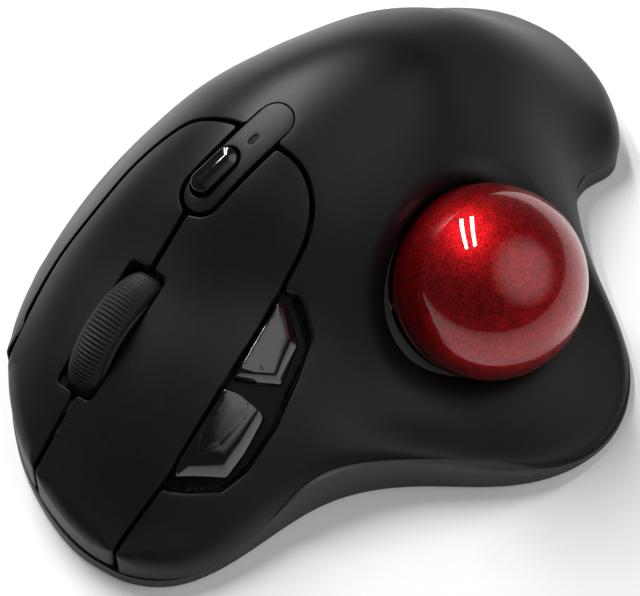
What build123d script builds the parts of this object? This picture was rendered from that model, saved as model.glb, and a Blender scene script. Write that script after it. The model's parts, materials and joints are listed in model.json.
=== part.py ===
"""Thumb-operated trackball mouse for the right hand, in millimetres.

+X is the user's right, +Y is the front where the buttons are, +Z is up. The origin lies on the
desk under the middle of the mouse.
"""

import os
from math import cos, hypot, radians, sin

from build123d import *

# ---------------------------------------------------------------- driving dimensions
WALL = 2.2  # thickness of the moulded case
FOOT_GAP = 0.6  # the case floats this far above the desk on its rubber feet
FLOOR_TOP = FOOT_GAP + 2.0  # inner face of the base plate
SEAM = 0.8  # gap round the main buttons
FINE_SEAM = 0.15  # gap between pieces that don't move
PART_GAP = 0.2  # gap between the palm shell and the bottom tray
BUTTON_DROP = 1.2  # gap between the front of the buttons and the tray's lip
HIGH = 60  # higher than any piece, for cutting tools
DEEP = -8  # lower than any piece
FAR_FRONT = 76  # further forward than any piece

BALL_R = 17.0  # a standard 34 mm trackball
BALL = (-21.5, -8.0, 22.0)
SOCKET_TILT = 39.7  # the socket's axis leans this far to the left of vertical
SOCKET_R = 17.75
LIP_R = 21.0  # outer radius of the socket's flared lip
LIP_H = 2.2  # the lip's height above the ball's centre, along the socket's axis
BORE_LOW = -9.0  # lower end of the socket's bore along its axis
BORE_TOP = -2.5
CUP_IN = 17.6
CUP_OUT = 19.2
BEAD_R = 1.0

WHEEL = (23.3, 36.4, 19.3)
WHEEL_R = 13.0
WHEEL_W = 6.4
RIM_R = 10.6  # outer radius of the hub, where the tyre sits
AXLE_R = 1.25
RUNNING = 0.05  # radial clearance of shafts

CELL_R = 7.1  # AA cell
CELL_L = 49.5
CELL_X = 20.0
CELL_Z = 11.0
CELL_FRONT = 6.5
BAY_X = (10.8, 29.2)  # inside the walls of the battery bay
BAY_Y = (-48.2, 8.6)
BAY_RIB = 1.4
BAY_TOP = 14
DOOR_X = (11, 29)  # the base plate's opening for the battery door
DOOR_REAR = -47.9
DOOR_Y = 8.0  # the door's hinge line
DOOR_Z = 1.5
DOOR_T = 1.8
HINGE_R = 0.6
MOUTH_X = (-7, 8)  # the receiver's mouth in the base plate
MOUTH_Y = (-45, -37)
MOUTH_TOP = 5.9
PLUG_X = (-5.5, 6.5)  # the receiver's USB plug
PLUG_Y = (-43.25, -38.75)
PLUG_TOP = 17.4
POWER_X = (31.8, 35.4)  # the power switch's slot in the base plate
POWER_Y = (-16.5, -8.5)
KNOB_L = 3.8

BOARD_Z = 4.6
BOARD_T = 1.6
BOARD_TOP = BOARD_Z + BOARD_T
SWITCH_L = 12.8  # microswitch under each main button
SWITCH_W = 5.8
SWITCH_BODY = 6.5
SWITCH_H = 7.1  # with its own button

# plan view of the case, counter-clockwise from the nose
OUTLINE = [
    (4, 66.6), (-7, 60.5), (-13, 47), (-18, 33.5), (-28, 22.5), (-42, 12), (-49.6, 0), (-49.6, -11),
    (-41.5, -22.5), (-29.5, -30.5), (-21.7, -37.5), (-18.3, -44), (-20.5, -51.5), (-16.5, -58),
    (-6, -64), (9, -66), (25, -58.5), (38.5, -43), (47.2, -20), (49.8, 5), (48, 28), (41.5, 46),
    (31, 58), (18, 65),
]
# ribs of the case's top surface: y, then (x, z) from the left edge to the right edge
RIBS = {
    75: [(-16, 2), (-10, 3), (-3, 5), (4, 6.5), (12, 7.5),
         (20, 7.5), (28, 6.5), (36, 4), (43, 1), (50, -3)],
    63: [(-16, 3), (-10, 5.5), (-3, 9), (4, 11.5), (12, 12.5),
         (20, 12.5), (28, 11.5), (36, 8), (43, 4), (50, -1)],
    50: [(-22, 4), (-14, 7), (-7, 13), (2, 18.5), (11, 21),
         (20, 21.5), (29, 20.5), (38, 15.5), (45, 9), (52, 2)],
    33: [(-26, 7), (-18.5, 11), (-9, 18.5), (0, 25.5), (10, 29),
         (20, 30), (30, 28.5), (40, 22.5), (46, 14), (54, 2)],
    12: [(-52, 2), (-42, 6), (-26, 9.5), (-12, 20), (0, 32),
         (12, 39.5), (24, 40.5), (36, 34.5), (45, 21.5), (55, 2)],
    -8: [(-60, 0), (-50, 3), (-35, 9.5), (-20, 20.5), (-6, 34.5),
         (8, 45), (22, 45.5), (35, 36), (44.5, 20), (55, 0)],
    -25: [(-52, 1), (-40, 5), (-29, 10.5), (-18, 20.5), (-5, 35.5),
         (7, 45), (18, 44), (30, 33), (41, 17), (53, 0)],
    -42: [(-28, 2), (-20, 7.5), (-14, 17), (-7, 27.5), (0, 34),
         (8, 36.5), (17, 32.5), (26, 24), (34.5, 13.5), (44, 0)],
    -56: [(-28, 2), (-20, 8), (-13, 13.5), (-6, 18.5), (1, 21),
         (8, 20.5), (15, 17.5), (21, 13), (27, 8), (33, 2)],
    -66: [(-24, 0), (-17, 4), (-11, 7), (-5, 8.5), (1, 9.5),
         (7, 9), (13, 7.5), (18, 5.5), (23, 3), (28, 0)],
}
# height of the parting line between tray and palm shell: (y, z)
PARTING = [
    (-72, 5), (-55, 5.5), (-45, 6), (-35, 5), (-25, 3), (-12, 2), (-2, 2), (5, 3.5), (12, 6.5),
    (22, 9.5), (33, 11), (42, 8.5), (50, 4.5), (67, 3.2), (72, 3.2),
]

# plan view of the seams of the main buttons, from the rear to beyond the nose
LEFT_SEAM = [
    (19.4, 2.2), (16.4, 2.1), (10.4, 2.4), (6.1, 5), (3.7, 9.4), (3, 15.7), (2.2, 25.2), (1.6, 36),
    (1.7, 52), (2.7, 62), (2.8, 72),
]
RIGHT_SEAM = [
    (19.4, 2.2), (22, 2.0), (28.3, 2.6), (32.6, 4.2), (35.6, 8), (38.4, 14.3), (40, 22), (41.6, 31),
    (41, 40), (39.3, 50), (37.5, 62),
]
SPLIT_X = 22.9
SPLIT_GAP = 0.9
STRIP_FRONT = (22.2, 14.6)
STRIP_REAR = (18.6, -1.0)
STRIP_W = 6.4
DPI_AT = (22.3, 11.0)
DPI_L = 9.4
DPI_W = 3.7
LIGHT_AT = (19.7, 3.6)
SLOT_W = 7.6
SLOT_Y = (28.3, 50.4)
# plan view of the side buttons' recess and of the two caps in it
RECESS = [
    (3.1, 18.2), (0.6, 16.6), (-4.2, 20), (-6.2, 27), (-7.7, 35), (-7.6, 43), (-6, 48), (-2, 51.6),
    (1.2, 54),
]
BACK_CAP = [(2.1, 18.6), (-0.2, 19.2), (-3.6, 22.6), (-5.2, 31.2), (-1.4, 32.4), (0.9, 33)]
FORWARD_CAP = [(0.3, 36), (-2, 35.2), (-5.8, 34.6), (-6.6, 43.6), (-4.9, 47), (-1.5, 49.4), (0.7, 50.8)]
SIDE_PRESS = (-0.58, 0.34, 0.74)  # outward normal of the case under the side buttons
STRIP_PRESS = (0, 0.35, 0.937)  # outward normal of the case under the DPI button

# case screws: x, y, height where tray boss and shell boss meet, tip of the shank
SCREWS = [(-10, -52, 8, 11), (39, -30, 8, 11), (43, 14, 8, 11), (-3.5, 57.5, 5.5, 9)]
FEET = [(12, 58, 16, 6), (40, -8, 6, 20), (6, -59, 16, 5), (-41, -6, 6, 16)]
PIVOT_Y = 7.5  # the main buttons' hinge line
PIVOT_Z = 30.0
PIVOT_R = 1.0
EARS = [(7, 9), (15, 17), (27, 29), (33, 35)]  # the inner frame's hinge ears, between these x
LUGS = [(10.3, 13.7), (29.6, 32.4)]  # the buttons' hinge lugs
PINS = [(7, 17), (27, 35)]
PLAY = 0.8  # free travel between a button's plunger and its switch
LEFT_SWITCH = (10, 49.2)
RIGHT_SWITCH = (33, 43)
PILLARS = [(3, 16), (36, 16), (3, 46), (30.3, 51.9)]
GUIDES = (20.5, 52.5)
GUIDE_R = 1.2
HEAD_TOP = 3.0  # top of the counterbores for the case screws' heads
BORE_R = 2.3  # their radius
SHANK_R = 1.0
BOSS_R = 2.8
FOOT_TOP = 1.0
DPI_Z = 40.9  # height of the case's surface under the DPI button
DPI_PROUD = 1.3
CAP_PROUD = 0.9
CAP_CORNER = 0.7
CAP_GAP = 0.35  # gap between a side button and its bezel
STEM_R = 1.2
STEM_L = 4.3
BACK_AT = (-1.8, 26, 26.2)  # where the side buttons' stems meet the case's surface
FORWARD_AT = (-3.3, 42, 18.9)

SENSOR_WAY = (0.85, 0, -0.53)  # from the ball's centre to the optical sensor
BEAD_ANGLE = 125  # the support beads' angle from the socket's axis
CUP_RIM = 2.6  # the cup ends this far below the ball's centre
TOWER_LEFT = (17.0, 18.6)
TOWER_RIGHT = (28.0, 29.6)
CARRIER_Z = (10, 13)


# ---------------------------------------------------------------- helpers
def inset(points, depth):
    """A rib's points moved inwards, square to the rib."""
    moved = []
    for i, (x, z) in enumerate(points):
        ax, az = points[max(i - 1, 0)]
        bx, bz = points[min(i + 1, len(points) - 1)]
        length = hypot(bx - ax, bz - az)
        moved.append((x + depth * (bz - az) / length, z - depth * (bx - ax) / length))
    return moved


def under_surface(depth):
    """Everything that lies more than depth below the case's top surface."""
    with BuildPart() as body:
        for y, points in sorted(RIBS.items()):
            rib = inset(points, depth)
            with BuildSketch(Plane.XZ.offset(-y)):
                with BuildLine():
                    top = Spline(*rib)
                    Polyline(top @ 1, (rib[-1][0], DEEP), (rib[0][0], DEEP), top @ 0)
                make_face()
        loft()
    return body.part


def beside(curve, distance, count):
    """Points evenly along a flat curve, moved that distance to its left."""
    moved = []
    for i in range(count):
        point = curve @ (i / (count - 1))
        way = curve % (i / (count - 1))
        moved.append((point.X - way.Y * distance, point.Y + way.X * distance))
    return moved


def plan(shrink, low, high=HIGH):
    """The case's outline, drawn in by shrink, as a block between two heights."""
    outline = Spline(*OUTLINE, periodic=True, mode=Mode.PRIVATE)
    with BuildPart() as block:
        with BuildSketch(Plane.XY.offset(low)):
            with BuildLine():
                Spline(*beside(outline, shrink, 65)[:-1], periodic=True)
            make_face()
        extrude(amount=high - low)
    return block.part


def below_parting(lift):
    """Everything below the parting line, raised by lift."""
    with BuildPart() as block:
        with BuildSketch(Plane.YZ.offset(-HIGH)):
            with BuildLine():
                line = Spline(*[(y, z + lift) for y, z in PARTING])
                Polyline(line @ 1, (PARTING[-1][0], DEEP), (PARTING[0][0], DEEP), line @ 0)
            make_face()
        extrude(amount=2 * HIGH)
    return block.part


def button_plan(seam, side, gap):
    """The block over one main button, drawn in by gap all round. side is -1 left, 1 right."""
    middle = SPLIT_X + side * (SPLIT_GAP / 2 if gap else -1)
    line = Spline(*seam, mode=Mode.PRIVATE)
    with BuildPart() as block:
        with BuildSketch():
            with BuildLine():
                edge = Spline(*beside(line, side * gap, 33))
                Polyline(edge @ 1, (middle, FAR_FRONT), (middle, STRIP_FRONT[1]), edge @ 0)
            make_face()
        extrude(amount=HIGH)
    return block.part


def strip_plan(grow, high=HIGH):
    """The block over the centre strip, grown by that much all round."""
    middle = ((STRIP_FRONT[0] + STRIP_REAR[0]) / 2, (STRIP_FRONT[1] + STRIP_REAR[1]) / 2)
    with BuildPart() as block:
        with BuildSketch():
            with BuildLine():
                run = Line(STRIP_REAR, STRIP_FRONT)
            with Locations(middle):
                angle = Vector(1, 0, 0).get_angle(run % 0.5)
                SlotCenterToCenter(run.length, STRIP_W + 2 * grow, rotation=angle)
        extrude(amount=high)
    return block.part


def rounded_plan(points, grow, high=HIGH):
    """A closed outline with softened corners, grown by that much, as a block."""
    with BuildPart() as block:
        with BuildSketch():
            with BuildLine():
                Polyline(*points, close=True)
            make_face()
            fillet(vertices(), radius=CAP_CORNER)
            if grow:
                offset(amount=grow, mode=Mode.REPLACE)
        extrude(amount=high)
    return block.part


def rod(x, y, low, high, radius):
    """An upright round rod."""
    with BuildPart(Plane.XY.offset(low)) as piece:
        with Locations((x, y, 0)):
            Cylinder(radius, high - low, align=(Align.CENTER, Align.CENTER, Align.MIN))
    return piece.part


def brick(x, y, z):
    """A box between pairs of limits."""
    with BuildPart() as piece:
        with Locations(((x[0] + x[1]) / 2, (y[0] + y[1]) / 2, (z[0] + z[1]) / 2)):
            Box(x[1] - x[0], y[1] - y[0], z[1] - z[0])
    return piece.part


def grown(limits, amount):
    """A pair of limits moved apart by that much each way."""
    return limits[0] - amount, limits[1] + amount


def axle_rod(x, y, z, radius):
    """A round rod along X between two limits."""
    with BuildPart(Plane.YZ.offset(x[0])) as piece:
        with Locations((y, z, 0)):
            Cylinder(radius, x[1] - x[0], align=(Align.CENTER, Align.CENTER, Align.MIN))
    return piece.part


def ball_rod(direction, near, far, radius):
    """A round rod on a line from the ball's centre, between two distances from it."""
    with BuildPart(Plane(origin=Vector(*BALL) + direction * near, z_dir=direction)) as piece:
        Cylinder(radius, far - near, align=(Align.CENTER, Align.CENTER, Align.MIN))
    return piece.part


def coil(plane, radius, wire, length, turns):
    """A helical spring of round wire, standing on the plane."""
    with BuildPart() as spring:
        with BuildLine():
            path = Helix(pitch=length / turns, height=length, radius=radius)
        with BuildSketch(Plane(origin=path @ 0, z_dir=path % 0)):
            Circle(wire)
        sweep(path=path)
    return spring.part.moved(plane.location)


def microswitch(x, y):
    """A main button's switch on the board, its own button shown pressed."""
    with BuildPart(Plane.XY.offset(BOARD_TOP)) as piece:
        with Locations((x, y, 0)):
            Box(SWITCH_W, SWITCH_L, SWITCH_BODY, align=(Align.CENTER, Align.CENTER, Align.MIN))
            Cylinder(1.0, SWITCH_H, align=(Align.CENTER, Align.CENTER, Align.MIN))
    return piece.part


def tact_switch(plane, size, body_h, total_h):
    """A small square switch on a plane, its own button shown pressed."""
    with BuildPart(plane) as piece:
        Box(size, size, body_h, align=(Align.CENTER, Align.CENTER, Align.MIN))
        Cylinder(size / 4, total_h, align=(Align.CENTER, Align.CENTER, Align.MIN))
    return piece.part


os.makedirs("parts", exist_ok=True)

# ---------------------------------------------------------------- the case as one hollow body
outer = under_surface(0) & plan(0, FOOT_GAP)
boss_limit = under_surface(WALL / 2) & plan(WALL / 2, 0)
inner = under_surface(WALL) & plan(WALL, FLOOR_TOP)
inside = under_surface(WALL + 0.4) & plan(WALL + 0.4, 0)
case_wall = outer - inner
tray_zone = below_parting(0)
shell_floor = below_parting(PART_GAP)
button_floor = below_parting(BUTTON_DROP)
tilt = radians(SOCKET_TILT)
socket_axis = Vector(-sin(tilt), 0, cos(tilt))
socket_across = Vector(cos(tilt), 0, sin(tilt))
socket_plane = Plane(origin=BALL, x_dir=socket_across, z_dir=socket_axis)
left_hole = button_plan(LEFT_SEAM, -1, 0)
right_hole = button_plan(RIGHT_SEAM, 1, 0)
strip_seam = strip_plan(SEAM)
strip_fit = strip_plan(FINE_SEAM)
recess = rounded_plan(RECESS, 0)

# the wheel's slot, half in each main button
with BuildPart() as wheel_slot:
    with BuildSketch():
        with Locations((WHEEL[0], (SLOT_Y[0] + SLOT_Y[1]) / 2)):
            RectangleRounded(SLOT_W, SLOT_Y[1] - SLOT_Y[0], 1.2)
    extrude(amount=HIGH)

# the socket: a bore a little wider than the ball, with a flared lip
with BuildPart() as socket_cut:
    with BuildSketch(Plane(origin=BALL, x_dir=socket_across, z_dir=(0, -1, 0))):
        with BuildLine():
            start = Line((0, BORE_LOW), (SOCKET_R, BORE_LOW))
            bore = Line(start @ 1, (SOCKET_R, BORE_TOP))
            lip = Spline(bore @ 1, (SOCKET_R + 0.9, 0.4), (LIP_R, LIP_H), tangents=((0, 1), (1, 0.25)))
            Polyline(lip @ 1, (LIP_R + 6, LIP_H + 1), (LIP_R + 6, HIGH), (0, HIGH), (0, BORE_LOW))
        make_face()
    revolve(axis=Axis(BALL, socket_axis))
    with Locations(BALL):
        Sphere(SOCKET_R)

# ---------------------------------------------------------------- shells
with BuildPart() as top_shell:
    add(case_wall)
    add(shell_floor, mode=Mode.SUBTRACT)
    add(plan(WALL - 0.1, 0, FLOOR_TOP + PART_GAP), mode=Mode.SUBTRACT)
    for x, y, joint, tip in SCREWS:
        add(rod(x, y, joint + PART_GAP, HIGH, BOSS_R) & boss_limit)
        add(rod(x, y, joint, tip + 0.3, SHANK_R), mode=Mode.SUBTRACT)
    add(left_hole, mode=Mode.SUBTRACT)
    add(right_hole, mode=Mode.SUBTRACT)
    add(strip_fit, mode=Mode.SUBTRACT)
    add(recess, mode=Mode.SUBTRACT)
    add(socket_cut.part, mode=Mode.SUBTRACT)


with BuildPart() as lower_case:
    add(case_wall)
    add(tray_zone, mode=Mode.INTERSECT)
    add(plan(WALL + 0.1, FOOT_GAP, FLOOR_TOP))
    # battery bay, receiver pocket and the ring that carries the ball's cup
    bay_length = (BAY_Y[0] - 1, BAY_Y[1] + 1.2)
    add(brick((BAY_X[0] - BAY_RIB, BAY_X[0]), bay_length, (FLOOR_TOP, BAY_TOP)) & inside)
    add(brick((BAY_X[1], BAY_X[1] + BAY_RIB), bay_length, (FLOOR_TOP, BAY_TOP)) & inside)
    add(brick(BAY_X, (bay_length[0], BAY_Y[0]), (FLOOR_TOP, CELL_Z)) & inside)
    add(brick(BAY_X, (BAY_Y[1], bay_length[1]), (DOOR_Z + 1.7, BAY_TOP)))
    add(brick(grown(MOUTH_X, 1), grown(MOUTH_Y, 1), (FLOOR_TOP, PLUG_TOP + 1)) & inside)
    add(rod(BALL[0], BALL[1], FLOOR_TOP, 4.9, 10.5) - rod(BALL[0], BALL[1], FLOOR_TOP, 4.9, 9.1))
    # board pillars, carrier guide posts and the side board's post
    for x, y in PILLARS:
        add(rod(x, y, FLOOR_TOP, BOARD_Z, 2.2))
    for y in GUIDES:
        add(rod(WHEEL[0], y, FLOOR_TOP, 15, GUIDE_R))
    add(rod(-4.5, 33, FLOOR_TOP, 15, 1.6))
    for x, y, joint, tip in SCREWS:
        add(rod(x, y, FLOOR_TOP, joint, BOSS_R + 0.4) & inside)
        add(rod(x, y, 0, joint, SHANK_R + 0.15), mode=Mode.SUBTRACT)
        add(rod(x, y, 0, HEAD_TOP, BORE_R), mode=Mode.SUBTRACT)
    for x, y in PILLARS:
        add(rod(x, y, FLOOR_TOP - 1, BOARD_Z, 0.8), mode=Mode.SUBTRACT)
    # openings in the base plate
    add(brick(DOOR_X, (DOOR_REAR, DOOR_Y + 1.4), (0, DOOR_Z + 1.7)), mode=Mode.SUBTRACT)
    add(axle_rod(grown(DOOR_X, 0.8), DOOR_Y, DOOR_Z, HINGE_R + RUNNING), mode=Mode.SUBTRACT)
    add(brick(MOUTH_X, MOUTH_Y, (0, MOUTH_TOP)), mode=Mode.SUBTRACT)
    add(brick(grown(PLUG_X, 0.2), grown(PLUG_Y, 0.2), (MOUTH_TOP, PLUG_TOP + 0.3)), mode=Mode.SUBTRACT)
    add(brick(POWER_X, POWER_Y, (0, FLOOR_TOP)), mode=Mode.SUBTRACT)
    with BuildSketch():
        for x, y, wide, deep in FEET:
            with Locations((x, y)):
                RectangleRounded(wide + 0.2, deep + 0.2, 2)
    extrude(amount=FOOT_TOP, mode=Mode.SUBTRACT)

with BuildPart() as left_button:
    add(case_wall)
    add(button_plan(LEFT_SEAM, -1, SEAM), mode=Mode.INTERSECT)
    add(button_floor, mode=Mode.SUBTRACT)
    add(strip_seam, mode=Mode.SUBTRACT)
    add(wheel_slot.part, mode=Mode.SUBTRACT)
    add(rod(LEFT_SWITCH[0], LEFT_SWITCH[1], BOARD_TOP + SWITCH_H + PLAY, HIGH, 1.6) & boss_limit)
    add(brick(LUGS[0], (PIVOT_Y - 2, PIVOT_Y + 2), (PIVOT_Z - 2, HIGH)) & boss_limit)
    add(axle_rod(grown(LUGS[0], 0.3), PIVOT_Y, PIVOT_Z, PIVOT_R + RUNNING), mode=Mode.SUBTRACT)

with BuildPart() as right_button:
    add(case_wall)
    add(button_plan(RIGHT_SEAM, 1, SEAM), mode=Mode.INTERSECT)
    add(button_floor, mode=Mode.SUBTRACT)
    add(strip_seam, mode=Mode.SUBTRACT)
    add(wheel_slot.part, mode=Mode.SUBTRACT)
    add(rod(RIGHT_SWITCH[0], RIGHT_SWITCH[1], BOARD_TOP + SWITCH_H + PLAY, HIGH, 1.6) & boss_limit)
    add(brick(LUGS[1], (PIVOT_Y - 2, PIVOT_Y + 2), (PIVOT_Z - 2, HIGH)) & boss_limit)
    add(axle_rod(grown(LUGS[1], 0.3), PIVOT_Y, PIVOT_Z, PIVOT_R + RUNNING), mode=Mode.SUBTRACT)

# ---------------------------------------------------------------- centre strip and DPI button
strip_run = Vector(STRIP_FRONT[0] - STRIP_REAR[0], STRIP_FRONT[1] - STRIP_REAR[1], 0)
strip_normal = Vector(*STRIP_PRESS).normalized()
strip_along = (strip_run - strip_normal * strip_run.dot(strip_normal)).normalized()


def dpi_plane(height):
    """The DPI button's plane, moved along its normal from the case's surface."""
    origin = Vector(DPI_AT[0], DPI_AT[1], DPI_Z) + strip_normal * height
    return Plane(origin=origin, x_dir=strip_along, z_dir=strip_normal)


with BuildPart() as dpi_hole:
    with BuildSketch(dpi_plane(-5)):
        SlotOverall(DPI_L + 0.6, DPI_W + 0.6)
    extrude(amount=10)

with BuildPart() as light_hole:
    with BuildSketch():
        with Locations(LIGHT_AT):
            SlotOverall(2.2, 1.0, rotation=Vector(1, 0, 0).get_angle(strip_run))
    extrude(amount=HIGH)

with BuildPart() as centre_strip:
    add(outer - under_surface(WALL))
    add(strip_plan(0), mode=Mode.INTERSECT)
    add(dpi_hole.part, mode=Mode.SUBTRACT)
    add(light_hole.part, mode=Mode.SUBTRACT)

with BuildPart() as status_light:
    add(under_surface(0.25) - under_surface(WALL))
    add(light_hole.part, mode=Mode.INTERSECT)

with BuildPart() as dpi_button:
    with BuildSketch(dpi_plane(-2.6)):
        SlotOverall(DPI_L, DPI_W)
    extrude(amount=2.6 + DPI_PROUD)
    fillet(dpi_button.faces().sort_by(Axis(dpi_plane(0).origin, strip_normal))[-1].edges(), radius=0.7)
    with BuildSketch(dpi_plane(-4.4)):
        Circle(1.1)
    extrude(amount=2)

with BuildPart() as dpi_board:
    with BuildSketch(dpi_plane(-9.0)):
        Rectangle(11, 6.6)
    extrude(amount=1)

dpi_switch = tact_switch(dpi_plane(-8.0), 5, 2.4, 3.0)

# ---------------------------------------------------------------- side buttons
side_normal = Vector(*SIDE_PRESS).normalized()
side_run = Vector(*FORWARD_AT) - Vector(*BACK_AT)
side_along = (side_run - side_normal * side_run.dot(side_normal)).normalized()


def side_plane(at, height):
    """A plane across a side button's direction of travel."""
    return Plane(origin=Vector(*at) + side_normal * height, x_dir=side_along, z_dir=side_normal)


def side_button(outline, at):
    """A glossy cap that stands proud of the case, with a stem towards its switch."""
    with BuildSketch(side_plane(at, -STEM_L - 0.2)) as foot:
        Circle(STEM_R)
    stem = extrude(foot.sketch, amount=STEM_L, dir=side_normal)
    with BuildPart() as button:
        add(under_surface(-CAP_PROUD) - under_surface(1.4))
        add(rounded_plan(outline, 0), mode=Mode.INTERSECT)
        add(stem)
    return button


back_button = side_button(BACK_CAP, BACK_AT)
forward_button = side_button(FORWARD_CAP, FORWARD_AT)

with BuildPart() as side_button_bezel:
    add(under_surface(1.0) - under_surface(WALL + 0.6))
    add(rounded_plan(RECESS, -FINE_SEAM), mode=Mode.INTERSECT)
    add(left_hole, mode=Mode.SUBTRACT)
    for outline in (BACK_CAP, FORWARD_CAP):
        add(rounded_plan(outline, CAP_GAP), mode=Mode.SUBTRACT)
        add(rounded_plan([(x + 2, y) for x, y in outline], CAP_GAP), mode=Mode.SUBTRACT)

side_middle = (Vector(*BACK_AT) + Vector(*FORWARD_AT)) * 0.5
with BuildPart() as side_board:
    with BuildSketch(side_plane(side_middle, -9.2)):
        RectangleRounded(26, 7, 1)
    extrude(amount=1)

with BuildPart() as side_switches:
    for at in (BACK_AT, FORWARD_AT):
        lift = (side_middle - Vector(*at)).dot(side_normal) - 8.2
        add(tact_switch(side_plane(at, lift), 4.5, 2.0, 2.5))

# ---------------------------------------------------------------- trackball and its cup
with BuildPart() as trackball:
    with Locations(BALL):
        Sphere(BALL_R)

sensor_way = Vector(*SENSOR_WAY).normalized()
bead_ways = []
for turn in (60, 180, 300):
    sideways = socket_across * cos(radians(turn)) + Vector(0, 1, 0) * sin(radians(turn))
    bead_ways.append(socket_axis * cos(radians(BEAD_ANGLE)) + sideways * sin(radians(BEAD_ANGLE)))

with BuildPart() as ball_cup:
    with Locations(BALL):
        Sphere(CUP_OUT)
        Sphere(CUP_IN, mode=Mode.SUBTRACT)
    split(bisect_by=socket_plane.offset(-CUP_RIM), keep=Keep.BOTTOM)
    add(inside, mode=Mode.INTERSECT)
    add(ball_rod(sensor_way, 15, 21, 3.2), mode=Mode.SUBTRACT)
    for way in bead_ways:
        add(ball_rod(way, 15, 21, BEAD_R + 0.02), mode=Mode.SUBTRACT)

with BuildPart() as support_beads:
    with Locations(*[Vector(*BALL) + way * (BALL_R + BEAD_R + 0.03) for way in bead_ways]):
        Sphere(BEAD_R)


def sensor_plane(distance):
    """A plane across the sensor's line of sight, at a distance from the ball's centre."""
    return Plane(origin=Vector(*BALL) + sensor_way * distance, x_dir=(0, 1, 0), z_dir=sensor_way)


with BuildPart() as sensor_lens:
    with BuildSketch(sensor_plane(18.0)):
        Circle(3.1)
    extrude(amount=1.6)
    with BuildSketch(sensor_plane(19.6)):
        RectangleRounded(9, 7.4, 1)
    extrude(amount=1)

with BuildPart() as sensor_chip:
    with BuildSketch(sensor_plane(20.6)):
        RectangleRounded(9.6, 7.6, 0.5)
    extrude(amount=2)

with BuildPart() as sensor_board:
    with BuildSketch(sensor_plane(22.6)):
        RectangleRounded(15, 12, 1)
    extrude(amount=1.2)

# ---------------------------------------------------------------- scroll wheel
with BuildPart() as wheel_tyre:
    with BuildSketch(Plane.XY):
        with BuildLine():
            base = Line((WHEEL_W / 2, RIM_R), (-WHEEL_W / 2, RIM_R))
            side = Line(base @ 1, (-WHEEL_W / 2, WHEEL_R - 1.2))
            crown = ThreePointArc(side @ 1, (0, WHEEL_R), (WHEEL_W / 2, WHEEL_R - 1.2))
            Line(crown @ 1, base @ 0)
        make_face()
    revolve(axis=Axis.X)
wheel_tyre.part = wheel_tyre.part.moved(Location(WHEEL))

with BuildPart(Plane.YZ) as wheel_hub:
    Cylinder(RIM_R, WHEEL_W)
    Cylinder(RIM_R - 1.4, WHEEL_W, mode=Mode.SUBTRACT)
    Cylinder(RIM_R - 1, 2.0)
    Cylinder(3, WHEEL_W + 1)
    with PolarLocations(6.2, 6):
        Cylinder(1.7, WHEEL_W, mode=Mode.SUBTRACT)
    Cylinder(AXLE_R, 3 * WHEEL_W, mode=Mode.SUBTRACT)
wheel_hub.part = wheel_hub.part.moved(Location(WHEEL))

wheel_axle = axle_rod((13.6, TOWER_RIGHT[1] - 0.2), WHEEL[1], WHEEL[2], AXLE_R)

with BuildPart() as wheel_carrier:
    for rail in (TOWER_LEFT, TOWER_RIGHT):
        add(brick(rail, (GUIDES[0] + 1.8, GUIDES[1] - 2), CARRIER_Z))
        add(brick(rail, (WHEEL[1] - 3, WHEEL[1] + 3), (CARRIER_Z[0], WHEEL[2] + 2.4)))
    add(brick((TOWER_LEFT[0], TOWER_RIGHT[1]), (GUIDES[0] + 1.8, GUIDES[0] + 3.6), CARRIER_Z))
    add(brick((TOWER_LEFT[0], TOWER_RIGHT[1]), (GUIDES[1] - 3.8, GUIDES[1] - 2), CARRIER_Z))
    add(brick((TOWER_RIGHT[1], 34), (29, 33), CARRIER_Z))
    for y, reach in ((GUIDES[0], 2), (GUIDES[1], -2)):
        add(brick((WHEEL[0] - 2.6, WHEEL[0] + 2.6), sorted((y, y + reach)), CARRIER_Z))
        add(rod(WHEEL[0], y, CARRIER_Z[0], CARRIER_Z[1], 2.6))
    for y in GUIDES:
        add(rod(WHEEL[0], y, 0, HIGH, GUIDE_R + 0.08), mode=Mode.SUBTRACT)
    add(axle_rod((10, 32), WHEEL[1], WHEEL[2], AXLE_R + RUNNING), mode=Mode.SUBTRACT)

with BuildPart() as wheel_encoder:
    add(brick((13, TOWER_LEFT[0]), (32, 40.5), (14.5, 22)))
    add(axle_rod((10, 32), WHEEL[1], WHEEL[2], AXLE_R + 0.1), mode=Mode.SUBTRACT)

with BuildPart() as wheel_springs:
    for y in GUIDES:
        add(coil(Plane((WHEEL[0], y, FLOOR_TOP + 0.3)), 1.9, 0.2, CARRIER_Z[0] - FLOOR_TOP - 0.6, 5))

# ---------------------------------------------------------------- boards and switches
with BuildPart() as main_board:
    with BuildSketch(Plane.XY.offset(BOARD_Z)):
        with BuildLine():
            Polyline((-1.5, 12), (38.5, 12), (39.5, 28), (35.6, 45), (33.4, 51.6), (26.8, 56.5), (0.5, 56.5),
                     (-1.5, 48), close=True)
        make_face()
        with Locations((WHEEL[0], 36.3)):
            Rectangle(10.4, 38.6, mode=Mode.SUBTRACT)
    extrude(amount=BOARD_T)
    for x, y in PILLARS:
        add(rod(x, y, 0, HIGH, 1.1), mode=Mode.SUBTRACT)

with BuildPart() as controller_chip:
    add(brick((3, 10), (24, 31), (BOARD_TOP, BOARD_TOP + 1)))
    add(brick((4, 8), (18, 21), (BOARD_TOP, BOARD_TOP + 1.2)))

left_switch = microswitch(*LEFT_SWITCH)
right_switch = microswitch(*RIGHT_SWITCH)
wheel_click_switch = tact_switch(Plane((32, 31, BOARD_TOP)), 5.6, 2.3, 2.9)

with BuildPart() as board_screws:
    for x, y in PILLARS:
        add(rod(x, y, FLOOR_TOP, BOARD_TOP, 0.8))
        add(rod(x, y, BOARD_TOP, BOARD_TOP + 1, 1.8))

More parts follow.
